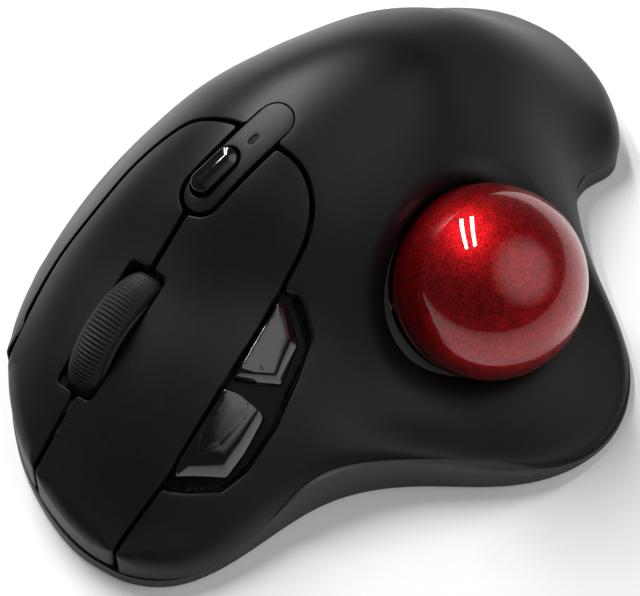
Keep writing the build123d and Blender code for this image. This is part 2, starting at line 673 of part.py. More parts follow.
# ---------------------------------------------------------------- inner frame
with BuildPart() as inner_frame:
    add(brick((4, 38), (-1, 13), (24, 26)) & inside)
    add(brick((4, 8), (0, 4), (FLOOR_TOP, 24)))
    add(brick((34, 38), (0, 4), (FLOOR_TOP, 24)))
    for left, right in EARS:
        add(brick((left, right), (PIVOT_Y - 2, PIVOT_Y + 2), (26, PIVOT_Z + 1.6)))
    for left, right in PINS:
        add(axle_rod((left, right), PIVOT_Y, PIVOT_Z, PIVOT_R), mode=Mode.SUBTRACT)
    add(rod(19.4, -0.2, 26, HIGH, 1.1) & inside)
    add(rod(22.3, 8, 26, HIGH, 1.6))
    with BuildSketch(dpi_plane(-9)):
        Rectangle(60, 60)
    extrude(amount=HIGH, mode=Mode.SUBTRACT)

with BuildPart() as button_pins:
    for left, right in PINS:
        add(axle_rod((left, right), PIVOT_Y, PIVOT_Z, PIVOT_R))

# ---------------------------------------------------------------- power
with BuildPart() as battery_door:
    add(brick(grown(DOOR_X, -0.3), (DOOR_REAR + 0.3, DOOR_Y + 0.9), (FOOT_GAP, FOOT_GAP + DOOR_T)))
    fillet(battery_door.edges().filter_by(Axis.X).group_by(Axis.Y)[-1], radius=0.5)
    for y in (-44, -41.5, -39):  # finger grooves
        add(brick((16, 24), (y, y + 1), (FOOT_GAP, FOOT_GAP + 0.5)), mode=Mode.SUBTRACT)
    add(axle_rod(grown(DOOR_X, 0.6), DOOR_Y, DOOR_Z, HINGE_R))

with BuildPart(Plane.XZ.offset(-CELL_FRONT)) as battery_cell:
    with Locations((CELL_X, CELL_Z, 0)):
        Cylinder(CELL_R, CELL_L, align=(Align.CENTER, Align.CENTER, Align.MIN))
        Cylinder(2.7, 1.4, align=(Align.CENTER, Align.CENTER, Align.MAX))

with BuildPart() as battery_contacts:
    add(brick((15, 25), (8.0, 8.4), (4, 17)))
    add(brick((15, 25), (-48, -47.6), (5, 13)))

spring_plane = Plane(origin=(CELL_X, CELL_FRONT - CELL_L - 0.4, CELL_Z - 1), z_dir=(0, -1, 0))
battery_spring = coil(spring_plane, 3.2, 0.35, 3.7, 4)

with BuildPart() as power_switch_body:
    add(brick(grown(POWER_X, 0.9), grown(POWER_Y, 0.5), (FLOOR_TOP, 6.4)))
    add(brick(grown(POWER_X, -1.2), grown(POWER_Y, -1), (FLOOR_TOP, 4.4)), mode=Mode.SUBTRACT)

with BuildPart() as power_switch_knob:
    rear = POWER_Y[0] + 0.4
    add(brick(grown(POWER_X, -0.3), (rear, rear + KNOB_L), (FOOT_GAP + 0.2, FLOOR_TOP - 0.2)))
    for groove in (0.5, 1.7, 2.9):
        add(brick(grown(POWER_X, -0.7), (rear + groove, rear + groove + 0.5), (0, FOOT_GAP + 0.5)),
            mode=Mode.SUBTRACT)
    add(brick(grown(POWER_X, -1.4), (rear + 1.3, rear + 2.7), (FLOOR_TOP - 0.2, 4.2)))

with BuildPart() as receiver_cap:
    add(brick(grown(MOUTH_X, -0.25), grown(MOUTH_Y, -0.25), (FOOT_GAP + 0.2, MOUTH_TOP - 0.3)))
    fillet(receiver_cap.edges().filter_by(Axis.Z), radius=1)

with BuildPart() as receiver_plug:
    add(brick(PLUG_X, PLUG_Y, (MOUTH_TOP - 0.3, PLUG_TOP)))
    add(brick(grown(PLUG_X, -0.4), (PLUG_Y[0] + 0.4, -41), (13, PLUG_TOP)), mode=Mode.SUBTRACT)

# ---------------------------------------------------------------- feet and screws
with BuildPart() as rubber_feet:
    with BuildSketch():
        for x, y, wide, deep in FEET:
            with Locations((x, y)):
                RectangleRounded(wide, deep, 2)
    extrude(amount=FOOT_TOP)

with BuildPart() as case_screws:
    for x, y, joint, tip in SCREWS:
        add(rod(x, y, HEAD_TOP, tip, SHANK_R))
        add(rod(x, y, HEAD_TOP - 1.3, HEAD_TOP, BORE_R - 0.3))
        add(brick((x - 1.2, x + 1.2), (y - 0.2, y + 0.2), (0, HEAD_TOP - 0.7)), mode=Mode.SUBTRACT)
        add(brick((x - 0.2, x + 0.2), (y - 1.2, y + 1.2), (0, HEAD_TOP - 0.7)), mode=Mode.SUBTRACT)

# ---------------------------------------------------------------- one file per piece
pieces = {
    "top_shell": top_shell,
    "lower_case": lower_case,
    "left_button": left_button,
    "right_button": right_button,
    "centre_strip": centre_strip,
    "status_light": status_light,
    "dpi_button": dpi_button,
    "dpi_board": dpi_board,
    "dpi_switch": dpi_switch,
    "back_button": back_button,
    "forward_button": forward_button,
    "side_button_bezel": side_button_bezel,
    "side_board": side_board,
    "side_switches": side_switches,
    "trackball": trackball,
    "ball_cup": ball_cup,
    "support_beads": support_beads,
    "sensor_lens": sensor_lens,
    "sensor_chip": sensor_chip,
    "sensor_board": sensor_board,
    "wheel_tyre": wheel_tyre,
    "wheel_hub": wheel_hub,
    "wheel_axle": wheel_axle,
    "wheel_carrier": wheel_carrier,
    "wheel_encoder": wheel_encoder,
    "wheel_springs": wheel_springs,
    "main_board": main_board,
    "controller_chip": controller_chip,
    "left_switch": left_switch,
    "right_switch": right_switch,
    "wheel_click_switch": wheel_click_switch,
    "board_screws": board_screws,
    "inner_frame": inner_frame,
    "button_pins": button_pins,
    "battery_door": battery_door,
    "battery_cell": battery_cell,
    "battery_contacts": battery_contacts,
    "battery_spring": battery_spring,
    "power_switch_body": power_switch_body,
    "power_switch_knob": power_switch_knob,
    "receiver_cap": receiver_cap,
    "receiver_plug": receiver_plug,
    "rubber_feet": rubber_feet,
    "case_screws": case_screws,
}
for name, piece in pieces.items():
    solid = piece.part if isinstance(piece, BuildPart) else piece
    solid.label = name
    export_step(solid, f"parts/{name}.step")
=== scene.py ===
import json
from math import cos, pi, radians, sin, sqrt

import bmesh
import bpy
import numpy as np
from mathutils import Matrix, Vector
from mathutils.geometry import delaunay_2d_cdt


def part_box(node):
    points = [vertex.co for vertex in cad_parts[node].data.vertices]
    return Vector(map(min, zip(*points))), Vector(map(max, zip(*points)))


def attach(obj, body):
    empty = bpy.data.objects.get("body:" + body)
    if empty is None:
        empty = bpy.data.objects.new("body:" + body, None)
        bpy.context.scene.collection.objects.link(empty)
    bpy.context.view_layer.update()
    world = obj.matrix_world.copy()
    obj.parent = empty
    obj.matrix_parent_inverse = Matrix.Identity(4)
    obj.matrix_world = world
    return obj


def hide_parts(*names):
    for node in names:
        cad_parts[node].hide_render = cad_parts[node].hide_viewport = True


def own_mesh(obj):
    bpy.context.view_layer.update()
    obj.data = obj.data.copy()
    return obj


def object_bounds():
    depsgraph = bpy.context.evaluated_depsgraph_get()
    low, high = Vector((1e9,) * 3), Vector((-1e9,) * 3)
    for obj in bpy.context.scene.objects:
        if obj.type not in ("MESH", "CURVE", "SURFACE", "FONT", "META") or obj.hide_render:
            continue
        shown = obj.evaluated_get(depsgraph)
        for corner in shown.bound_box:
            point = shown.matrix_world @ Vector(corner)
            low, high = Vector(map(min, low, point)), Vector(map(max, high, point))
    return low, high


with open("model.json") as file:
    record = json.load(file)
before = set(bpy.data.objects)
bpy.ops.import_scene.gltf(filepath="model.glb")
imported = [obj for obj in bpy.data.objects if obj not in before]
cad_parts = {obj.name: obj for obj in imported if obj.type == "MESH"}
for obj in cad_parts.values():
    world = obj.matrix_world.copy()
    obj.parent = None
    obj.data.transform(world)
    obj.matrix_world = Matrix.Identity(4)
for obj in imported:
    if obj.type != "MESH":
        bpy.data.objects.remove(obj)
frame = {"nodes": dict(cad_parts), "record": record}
cad_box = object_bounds()

# Everything in this script is in millimetres until a mesh is made. The case's lines repeat the CAD part's.
MM = 0.001

WALL = 2.0
SEAM = 0.8  # gap round the main buttons
FINE_SEAM = 0.15  # gap between pieces that don't move
BUTTON_DROP = 1.2  # gap between the front of the buttons and the tray's lip
PART_GAP = 0.2  # gap between the palm shell and the tray
SPLIT_X = 22.9
SPLIT_GAP = 0.9
STRIP_FRONT = (22.2, 14.6)
STRIP_REAR = (18.6, -1.0)
STRIP_W = 6.4
DPI_AT = (22.3, 11.0)
DPI_L = 9.4
DPI_W = 3.7
DPI_PROUD = 1.7
DPI_DEPTH = 2.4  # the button's body runs this far down
DPI_SHOULDER = 0.75  # its shoulders begin this far below its top
DPI_ROUND = 0.35  # radius of the shoulders
DPI_TURN = radians(62)  # how far round the shoulders go
DPI_CROWN = 0.44  # height of the crown inside them
LIGHT_AT = (19.7, 3.6)
SLOT_W = 7.6
SLOT_Y = (28.3, 50.4)
CAP_PROUD = 0.9  # the side buttons' top faces stand this far above the case
CAP_FOOT = 0.8  # and their flanks end this far below it
CAP_EDGE = 0.22  # width of the rounding along a top face's edge
CAP_EDGE_DROP = 0.03
CAP_SKIRT = 0.45  # the caps' walls run on this far below their flanks
CAP_WALL = 1.6
CROWN_RISE = 0.15
CROWN_REACH = 2.4  # a top face stops rising this far in from its edge
FLANK_ROWS = 10
FLANK_START = (0.05, 0.02)  # the flank's first shares of the way out and down
FLANK_ROUND = (0.35, 0.55)  # how much of its way out and down is an arc
SCOOP = 1.95  # depth of the hollow round the side buttons
STRIP_NORMAL = Vector((0, 0.35, 0.937)).normalized()

OUTLINE = [
    (4, 66.6), (-7, 60.5), (-13, 47), (-18, 33.5), (-28, 22.5), (-42, 12), (-49.6, 0), (-49.6, -11),
    (-41.5, -22.5), (-29.5, -30.5), (-21.7, -37.5), (-18.3, -44), (-20.5, -51.5), (-16.5, -58),
    (-6, -64), (9, -66), (25, -58.5), (38.5, -43), (47.2, -20), (49.8, 5), (48, 28), (41.5, 46),
    (31, 58), (18, 65),
]
# ribs of the top surface: y, then (x, z) from the left edge to the right edge
RIBS = {
    75: [(-16, 2), (-10, 3), (-3, 5), (4, 6.5), (12, 7.5),
         (20, 7.5), (28, 6.5), (36, 4), (43, 1), (50, -3)],
    63: [(-16, 3), (-10, 5.5), (-3, 9), (4, 11.5), (12, 12.5),
         (20, 12.5), (28, 11.5), (36, 8), (43, 4), (50, -1)],
    50: [(-22, 4), (-14, 7), (-7, 13), (2, 18.5), (11, 21),
         (20, 21.5), (29, 20.5), (38, 15.5), (45, 9), (52, 2)],
    33: [(-26, 7), (-18.5, 11), (-9, 18.5), (0, 25.5), (10, 29),
         (20, 30), (30, 28.5), (40, 22.5), (46, 14), (54, 2)],
    12: [(-52, 2), (-42, 6), (-26, 9.5), (-12, 20), (0, 32),
         (12, 39.5), (24, 40.5), (36, 34.5), (45, 21.5), (55, 2)],
    -8: [(-60, 0), (-50, 3), (-35, 9.5), (-20, 20.5), (-6, 34.5),
         (8, 45), (22, 45.5), (35, 36), (44.5, 20), (55, 0)],
    -25: [(-52, 1), (-40, 5), (-29, 10.5), (-18, 20.5), (-5, 35.5),
          (7, 45), (18, 44), (30, 33), (41, 17), (53, 0)],
    -42: [(-28, 2), (-20, 7.5), (-14, 17), (-7, 27.5), (0, 34),
          (8, 36.5), (17, 32.5), (26, 24), (34.5, 13.5), (44, 0)],
    -56: [(-28, 2), (-20, 8), (-13, 13.5), (-6, 18.5), (1, 21),
          (8, 20.5), (15, 17.5), (21, 13), (27, 8), (33, 2)],
    -66: [(-24, 0), (-17, 4), (-11, 7), (-5, 8.5), (1, 9.5),
          (7, 9), (13, 7.5), (18, 5.5), (23, 3), (28, 0)],
}
PARTING = [
    (-72, 5), (-55, 5.5), (-45, 6), (-35, 5), (-25, 3), (-12, 2), (-2, 2), (5, 3.5), (12, 6.5),
    (22, 9.5), (33, 11), (42, 8.5), (50, 4.5), (67, 3.2), (72, 3.2),
]
LEFT_SEAM = [
    (19.4, 2.2), (16.4, 2.1), (10.4, 2.4), (6.1, 5), (3.7, 9.4), (3, 15.7), (2.2, 25.2), (1.6, 36),
    (1.7, 52), (2.7, 62), (2.8, 72),
]
RIGHT_SEAM = [
    (19.4, 2.2), (22, 2.0), (28.3, 2.6), (32.6, 4.2), (35.6, 8), (38.4, 14.3), (40, 22), (41.6, 31),
    (41, 40), (39.3, 50), (37.5, 62),
]
RECESS = [
    (3.1, 18.2), (0.6, 16.6), (-4.2, 20), (-6.2, 27), (-7.7, 35), (-7.6, 43), (-6, 48), (-2, 51.6),
    (2.6, 54.5),
]
# the side buttons' outlines: where each meets the hollow round it, then its top face
BACK_CAP = [(2.7, 19.4), (1.5, 19.0), (-3.0, 22.0), (-4.8, 29.2), (-1.5, 32.2), (1.5, 34.3)]
BACK_CROWN = [(2.5, 20.2), (1.8, 21.3), (-0.3, 24.6), (-2.7, 29.4), (-0.8, 31.5), (1.3, 32.5)]
FORWARD_CAP = [
    (1.6, 36.4), (-0.3, 35.2), (-5.6, 34.9), (-6.0, 41.1), (-5.7, 46.0), (1.3, 51.4), (2.0, 50.2),
]
FORWARD_CROWN = [
    (1.4, 36.8), (-0.6, 35.9), (-4.1, 35.5), (-3.3, 40.2), (-2.6, 43.6), (-1.0, 46.4), (0.5, 43.6),
]

# places that the frame gives
ball_low, ball_high = (Vector(v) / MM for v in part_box("trackball"))
BALL = (ball_low + ball_high) / 2
BALL_R = (ball_high.x - ball_low.x) / 2
SOCKET_TILT = radians(39.7)
SOCKET_UP = Vector((-sin(SOCKET_TILT), 0, cos(SOCKET_TILT)))
SOCKET_ACROSS = Vector((cos(SOCKET_TILT), 0, sin(SOCKET_TILT)))
LIP_R = 22.5  # where the case's surface begins to roll into the socket
BALL_GAP = 0.55  # narrowest gap between the ball and the socket
LIP_PROBE = 0.4  # the case's slope at the lip is read over this distance
LIP_DROP = 3.2  # the lip falls at least this far along the socket's axis
LIP_END = -1.2  # and ends no higher than this above the ball's middle
LIP_BEND = 0.9  # how firmly the lip's curve keeps to its end directions
LIP_ROWS = 14
LIP_EDGE = 0.4  # length of the straight edge below the curve
LIP_THICK = 0.5
LIP_BACK = (1.9, 0.3)  # the turn behind the edge, out and up
wheel_low, wheel_high = (Vector(v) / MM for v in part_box("wheel_tyre"))
WHEEL = (wheel_low + wheel_high) / 2
WHEEL_R = (wheel_high.z - wheel_low.z) / 2
WHEEL_W = wheel_high.x - wheel_low.x


# ---------------------------------------------------------------- curves in plan
def cubic(knots, values, at, closed=False):
    """A natural or periodic cubic spline through the values at the knots, read at `at`."""
    step = np.diff(knots)
    slopes = np.diff(values, axis=0) / step[:, None]
    count = len(knots)
    matrix = np.zeros((count, count))
    right = np.zeros(values.shape)
    for i in range(1, count - 1):
        matrix[i, i - 1:i + 2] = step[i - 1], 2 * (step[i - 1] + step[i]), step[i]
        right[i] = 6 * (slopes[i] - slopes[i - 1])
    if closed:
        matrix[0, 0], matrix[0, -1] = 1, -1
        matrix[-1, 0], matrix[-1, 1], matrix[-1, -2] = 2 * (step[-1] + step[0]), step[0], step[-1]
        right[-1] = 6 * (slopes[0] - slopes[-1])
    else:
        matrix[0, 0] = matrix[-1, -1] = 1
    bend = np.linalg.solve(matrix, right)
    i = np.clip(np.searchsorted(knots, at, "right") - 1, 0, count - 2)
    t = (at - knots[i])[:, None]
    h = step[i][:, None]
    rise = slopes[i] - h * (2 * bend[i] + bend[i + 1]) / 6
    return values[i] + t * rise + t * t * bend[i] / 2 + t**3 * (bend[i + 1] - bend[i]) / (6 * h)


def lengths(points):
    """How far along a polyline each of its points lies."""
    return np.r_[0, np.cumsum(np.linalg.norm(np.diff(points, axis=0), axis=1))]


def evenly(points, step, closed=False):
    """A polyline resampled to even steps. A closed one doesn't repeat its first point."""
    if closed:
        points = np.vstack([points, points[:1]])
    along = lengths(points)
    count = max(int(round(along[-1] / step)), 3)
    at = np.linspace(0, along[-1], count + 1)
    even = np.stack([np.interp(at, along, points[:, k]) for k in range(points.shape[1])], axis=1)
    return even[:-1] if closed else even


def through(points, step=0.5, closed=False):
    """Points at even steps on a smooth curve through the given ones."""
    given = np.array(points + points[:1] if closed else points, float)
    knots = lengths(given)
    fine = cubic(knots, given, np.linspace(0, knots[-1], 60 * len(given)), closed)
    return evenly(fine[:-1] if closed else fine, step, closed)


def beside(points, distance, closed=False):
    """A polyline moved that distance to its left."""
    if closed:
        along = np.roll(points, -1, 0) - np.roll(points, 1, 0)
    else:
        along = np.gradient(points, axis=0)
    along /= np.linalg.norm(along, axis=1)[:, None]
    return points + distance * np.stack([-along[:, 1], along[:, 0]], axis=1)


def circular_blur(values, sigma):
    """A closed row of values smoothed by a bell curve sigma samples wide."""
    count = len(values)
    far = np.minimum(np.arange(count), count - np.arange(count))
    bell = np.exp(-0.5 * (far / sigma) ** 2)
    bell /= bell.sum()
    spectrum = np.fft.rfft(values, axis=0) * np.fft.rfft(bell)[:, None]
    return np.fft.irfft(spectrum, n=count, axis=0)


def ramp(values):
    """0 below 0, 1 above 1 and a smooth rise between them."""
    t = np.clip(values, 0, 1)
    return t * t * (3 - 2 * t)


def soften(loop, step, corner):
    """A closed loop at even steps with its corners rounded, and each point's distance from a corner."""
    fine = evenly(loop, 0.1, closed=True)
    ahead = np.roll(fine, -5, 0) - fine
    behind = fine - np.roll(fine, 5, 0)
    turn = ahead[:, 0] * behind[:, 1] - ahead[:, 1] * behind[:, 0]
    straight = (ahead * behind).sum(1)
    sharp = fine[np.abs(np.arctan2(turn, straight)) > 0.5]
    if len(sharp) == 0:
        points = evenly(fine, step, closed=True)
        return points, np.full(len(points), 99.0)
    far = np.sqrt(((fine[:, None] - sharp[None]) ** 2).sum(2)).min(1)
    blurred = circular_blur(fine, corner * 6)
    fine = fine + (blurred - fine) * ramp(1.3 - far / (2.5 * corner))[:, None]
    both = evenly(np.hstack([fine, far[:, None]]), step, closed=True)
    return both[:, :2], both[:, 2]


def inside(points, loop):
    """Which points lie inside a closed loop."""
    result = np.zeros(len(points), bool)
    x, y = points[:, 0], points[:, 1]
    ends = np.roll(loop, -1, 0)
    for (ax, ay), (bx, by) in zip(loop, ends):
        if ay != by:
            crosses = ((ay > y) != (by > y)) & (x < (bx - ax) * (y - ay) / (by - ay) + ax)
            result ^= crosses
    return result


def rounded(points, radius, grow=0.0):
    """A closed polygon with softened corners, grown by that much, at fine steps."""
    points = np.array(points, float)
    if (points[:, 0] * np.roll(points[:, 1], -1) - points[:, 1] * np.roll(points[:, 0], -1)).sum() < 0:
        points = points[::-1]
    fine = evenly(points, 0.1, closed=True)
    fine = circular_blur(fine, radius * 5)
    return evenly(beside(fine, -grow, closed=True), 0.3, closed=True)


def capsule(centre, along, length, width, count=14):
    """A slot-shaped loop round a centre."""
    along = np.array(along, float) / np.linalg.norm(along)
    side = np.array([-along[1], along[0]])
    points = []
    for end in (1, -1):
        for k in range(count + 1):
            a = -pi / 2 + pi * k / count
            offset = (length - width) / 2 + width / 2 * cos(a)
            points.append(np.array(centre) + end * (along * offset + side * width / 2 * sin(a)))
    return np.array(points)


# ---------------------------------------------------------------- the case's surface
GRID = 0.25
GRID_X = np.arange(-56, 56.1, GRID)
GRID_Y = np.arange(-70, 72.1, GRID)


def surface_grid():
    """The top surface's height on a grid, from the ribs: smooth along each rib and across them."""
    share = np.linspace(0, 1, 400)
    stations = sorted(RIBS)
    ribs = []
    for y in stations:
        rib = np.array(RIBS[y], float)
        knots = lengths(rib)
        ribs.append(cubic(knots / knots[-1], rib, share))
    ribs = np.array(ribs)
    gaps = np.diff(stations)[:, None]
    apart = np.sqrt((np.diff(ribs, axis=0) ** 2).sum(2) + gaps**2).mean(1)
    across = np.r_[0, np.cumsum(apart)]
    values = np.hstack([ribs[:, :, 0], ribs[:, :, 1], np.array(stations, float)[:, None]])
    fine = cubic(across, values, np.linspace(0, across[-1], 700))
    rows = np.array([np.interp(GRID_X, row[:400], row[400:800]) for row in fine])
    return np.array([np.interp(GRID_Y, fine[:, -1], rows[:, i]) for i in range(len(GRID_X))])


SURFACE = surface_grid() - 0.05
parting_line = through(PARTING, 0.5)


def height(points):
    """The top surface's height over points in plan."""
    fx = np.clip((points[:, 0] - GRID_X[0]) / GRID, 0, len(GRID_X) - 1.001)
    fy = np.clip((points[:, 1] - GRID_Y[0]) / GRID, 0, len(GRID_Y) - 1.001)
    i, j = fx.astype(int), fy.astype(int)
    a, b = fx - i, fy - j
    front = SURFACE[i, j + 1] * (1 - a) + SURFACE[i + 1, j + 1] * a
    return (SURFACE[i, j] * (1 - a) + SURFACE[i + 1, j] * a) * (1 - b) + front * b


def parting(points):
    """The parting line's height beside points in plan."""
    return np.interp(points[:, 1], parting_line[:, 0], parting_line[:, 1])


outline = through(OUTLINE, 0.5, closed=True)
outline[:, 1] = np.maximum(outline[:, 1], cad_box[0][1] / MM + 0.05)
left_seam = through(LEFT_SEAM)
right_seam = through(RIGHT_SEAM)


def distance(points, curve):
    """Each point's distance from a finely drawn curve."""
    return np.sqrt(((points[:, None] - curve[None]) ** 2).sum(2)).min(1)


def from_outline(points):
    """Each point's distance from the case's outline in plan."""
    return distance(points, outline)


def button_zone(seam, side, gap):
    """The plan of one main button's place, drawn in by gap. side is -1 left, 1 right."""
    middle = SPLIT_X + side * (SPLIT_GAP / 2 if gap else -1)
    edge = beside(seam, side * gap)
    zone = np.vstack([edge, [(middle, 76), (middle, STRIP_FRONT[1])]])
    return evenly(zone, 0.5, closed=True)


def strip_zone(grow):
    """The plan of the centre strip, grown by that much."""
    front, rear = np.array(STRIP_FRONT), np.array(STRIP_REAR)
    width = STRIP_W + 2 * grow
    return capsule((front + rear) / 2, front - rear, np.linalg.norm(front - rear) + width, width, 24)


left_hole = button_zone(left_seam, -1, 0)
right_hole = button_zone(right_seam, 1, 0)
wheel_slot = rounded(
    [(WHEEL.x - SLOT_W / 2, SLOT_Y[0]), (WHEEL.x + SLOT_W / 2, SLOT_Y[0]),
     (WHEEL.x + SLOT_W / 2, SLOT_Y[1]), (WHEEL.x - SLOT_W / 2, SLOT_Y[1])], 1.2)
strip_way = np.array(STRIP_FRONT) - np.array(STRIP_REAR)


# ---------------------------------------------------------------- meshes
def make_piece(name, verts, faces, crease=50):
    """A mesh object from millimetre vertices. Edges sharper than crease degrees stay sharp."""
    mesh = bpy.data.meshes.new(name)
    mesh.from_pydata([tuple(c * MM for c in v) for v in verts], [], faces)
    mesh.update()
    tidy = bmesh.new()
    tidy.from_mesh(mesh)
    bmesh.ops.remove_doubles(tidy, verts=tidy.verts, dist=1e-7)
    bmesh.ops.recalc_face_normals(tidy, faces=tidy.faces)
    tidy.to_mesh(mesh)
    tidy.free()
    mesh.polygons.foreach_set("use_smooth", [True] * len(mesh.polygons))
    mesh.set_sharp_from_angle(angle=radians(crease))
    piece = bpy.data.objects.new(name, mesh)
    bpy.context.scene.collection.objects.link(piece)
    return piece


def region_loops(curves, keep):
    """The boundary loops of the region that keep() accepts, cut out of the plane by closed curves."""
    verts, edges = [], []
    for curve in curves:
        first, count = len(verts), len(curve)
        verts += [Vector(p) for p in curve]
        edges += [(first + i, first + (i + 1) % count) for i in range(count)]
    flat, _, faces, *_ = delaunay_2d_cdt(verts, edges, [], 0, 1e-4)
    corners = np.array([v[:] for v in flat])
    triangles = np.array(faces)
    a, b, c = (corners[triangles[:, k]] for k in range(3))
    area = (b[:, 0] - a[:, 0]) * (c[:, 1] - a[:, 1]) - (b[:, 1] - a[:, 1]) * (c[:, 0] - a[:, 0])
    triangles[area < 0] = triangles[area < 0][:, ::-1]
    chosen = triangles[keep((a + b + c) / 3) & (np.abs(area) > 1e-7)]
    half = {(int(t[k]), int(t[(k + 1) % 3])) for t in chosen for k in range(3)}
    following = {p: q for p, q in sorted(half) if (q, p) not in half}
    loops = []
    while following:
        start, here = following.popitem()
        loop = [start]
        while here != start and here in following:
            loop.append(here)
            here = following.pop(here)
        points = corners[loop]
        swept = points[:, 0] * np.roll(points[:, 1], -1) - points[:, 1] * np.roll(points[:, 0], -1)
        if abs(swept.sum()) > 1.0:
            loops.append(points)
    return loops


def limited(values, step):
    """A closed row of radii, eased so that they change by no more than half the way along."""
    values = values.copy()
    for _ in range(2):
        for order in (range(len(values)), range(len(values) - 1, -1, -1)):
            last = values[-1] if order.step == 1 else values[0]
            for i in order:
                values[i] = last = min(values[i], last + 0.5 * step)
    return values


ROUND = [(1 - sin(pi / 12 * k), 1 - cos(pi / 12 * k)) for k in range(7)]  # in and down, in radii


def skin(name, loops, radius, floor, thickness, step=0.6, grid=1.3, corner=0.8, top=height, profiles=()):
    """A moulded skin over a region: top surface, rounded edges, skirt down to the floor and underside.

    radius(points) gives the edge's rounding, floor(points) the height where the skirt ends, and
    profiles are ready-made rings, inner edge first, for loops that end otherwise.
    """
    stacks = []
    for loop in loops:
        points, far = soften(loop, step, corner)
        round_r = limited(np.minimum(radius(points), 0.45 * corner + 0.5 * far), step)
        for _ in range(12):
            inner = beside(points, 1, closed=True) - points
            inset = points + inner * round_r[:, None]
            old = np.roll(points, -1, 0) - points
            new = np.roll(inset, -1, 0) - inset
            folded = (old * new).sum(1) < 0.25 * (old * old).sum(1)
            if not folded.any():
                break
            for shift in (-1, 0, 1, 2):
                round_r[np.roll(folded, shift)] *= 0.75
            round_r = limited(round_r, step)
        base = floor(points)
        rings = []
        for draw_in, drop in ROUND:
            at = points + inner * (round_r * draw_in)[:, None]
            rings.append(np.column_stack([at, top(at) - round_r * drop]))
        under = top(inset) - thickness
        base = np.minimum(base, rings[-1][:, 2] - 0.15)
        rings.append(np.column_stack([points, base]))
        rings.append(np.column_stack([inset, np.minimum(base, under - 0.02)]))
        rings.append(np.column_stack([inset, under]))
        stacks.append(rings)
    stacks += list(profiles)
    verts, faces, starts = [], [], []
    for rings in stacks:
        count = len(rings[0])
        first = len(verts)
        starts.append((first, count, len(rings)))
        for ring in rings:
            verts += [tuple(p) for p in ring]
        for k in range(len(rings) - 1):
            for i in range(count):
                j = (i + 1) % count
                low, high = first + k * count, first + (k + 1) * count
                faces.append((low + i, high + i, high + j, low + j))
    rims = [rings[0][:, :2] for rings in stacks]
    low = np.min([rim.min(0) for rim in rims], axis=0)
    high = np.max([rim.max(0) for rim in rims], axis=0)
    xs, ys = np.meshgrid(np.arange(low[0], high[0], grid), np.arange(low[1], high[1], grid * 0.87))
    xs = xs + (np.arange(len(xs)) % 2)[:, None] * grid / 2
    field = np.column_stack([xs.ravel(), ys.ravel()])
    odd = np.zeros(len(field), bool)
    near = np.full(len(field), 99.0)
    for rim in rims:
        odd ^= inside(field, rim)
        for part in np.array_split(rim, max(len(rim) // 60, 1)):
            near = np.minimum(near, np.sqrt(((field[:, None] - part[None]) ** 2).sum(2)).min(1))
    field = field[odd & (near > 0.55 * grid)]
    flat_points, edges, home = [], [], []
    for (first, count, rows), rim in zip(starts, rims):
        offset = len(flat_points)
        flat_points += [Vector(p) for p in rim]
        edges += [(offset + i, offset + (i + 1) % count) for i in range(count)]
        home += [(first + i, first + (rows - 1) * count + i) for i in range(count)]
    for p, z in zip(field, top(field)):
        home.append((len(verts), len(verts) + 1))
        verts += [(p[0], p[1], z), (p[0], p[1], z - thickness)]
        flat_points.append(Vector(p))
    flat, _, triangles, source, *_ = delaunay_2d_cdt(flat_points, edges, [], 0, 1e-5)
    corners = np.array([v[:] for v in flat])
    triangles = np.array(triangles)
    middle = corners[triangles].mean(1)
    wanted = np.zeros(len(triangles), bool)
    for rim in rims:
        wanted ^= inside(middle, rim)
    for a, b, c in triangles[wanted]:
        ids = [source[k][0] if source[k] else None for k in (a, b, c)]
        if None in ids:
            continue
        faces.append(tuple(home[k][0] for k in ids))
        faces.append(tuple(home[k][1] for k in reversed(ids)))
    return make_piece(name, verts, faces)


# ---------------------------------------------------------------- the case's visible skins
def edge_reach(points, at_outline, at_seam, width=0.7):
    """A value that is at_outline along the case's outline and at_seam elsewhere."""
    return np.where(from_outline(points) < width, at_outline, at_seam)


def skirt_floor(points, lift, thickness):
    """A skirt ends at the parting line along the outline, and just under the skin at the seams."""
    low = parting(points) + lift
    shallow = height(points) - thickness - 0.3
    share = ramp((from_outline(points) - 1.8) / 1.4)
    return low + (np.maximum(shallow, low) - low) * share


def socket_point(rho, turn):
    """The point of the case's surface at a distance from the socket's axis, and its height along it."""
    out = SOCKET_ACROSS * cos(turn) + Vector((0, 1, 0)) * sin(turn)
    heights = np.linspace(-16, 12, 561)
    line = np.array(BALL + out * rho) + heights[:, None] * np.array(SOCKET_UP)
    below = np.nonzero(line[:, 2] <= height(line[:, :2]))[0]
    k = below[-1]
    gap = line[:, 2] - height(line[:, :2])
    share = gap[k] / (gap[k] - gap[k + 1])
    return heights[k] + share * (heights[k + 1] - heights[k])


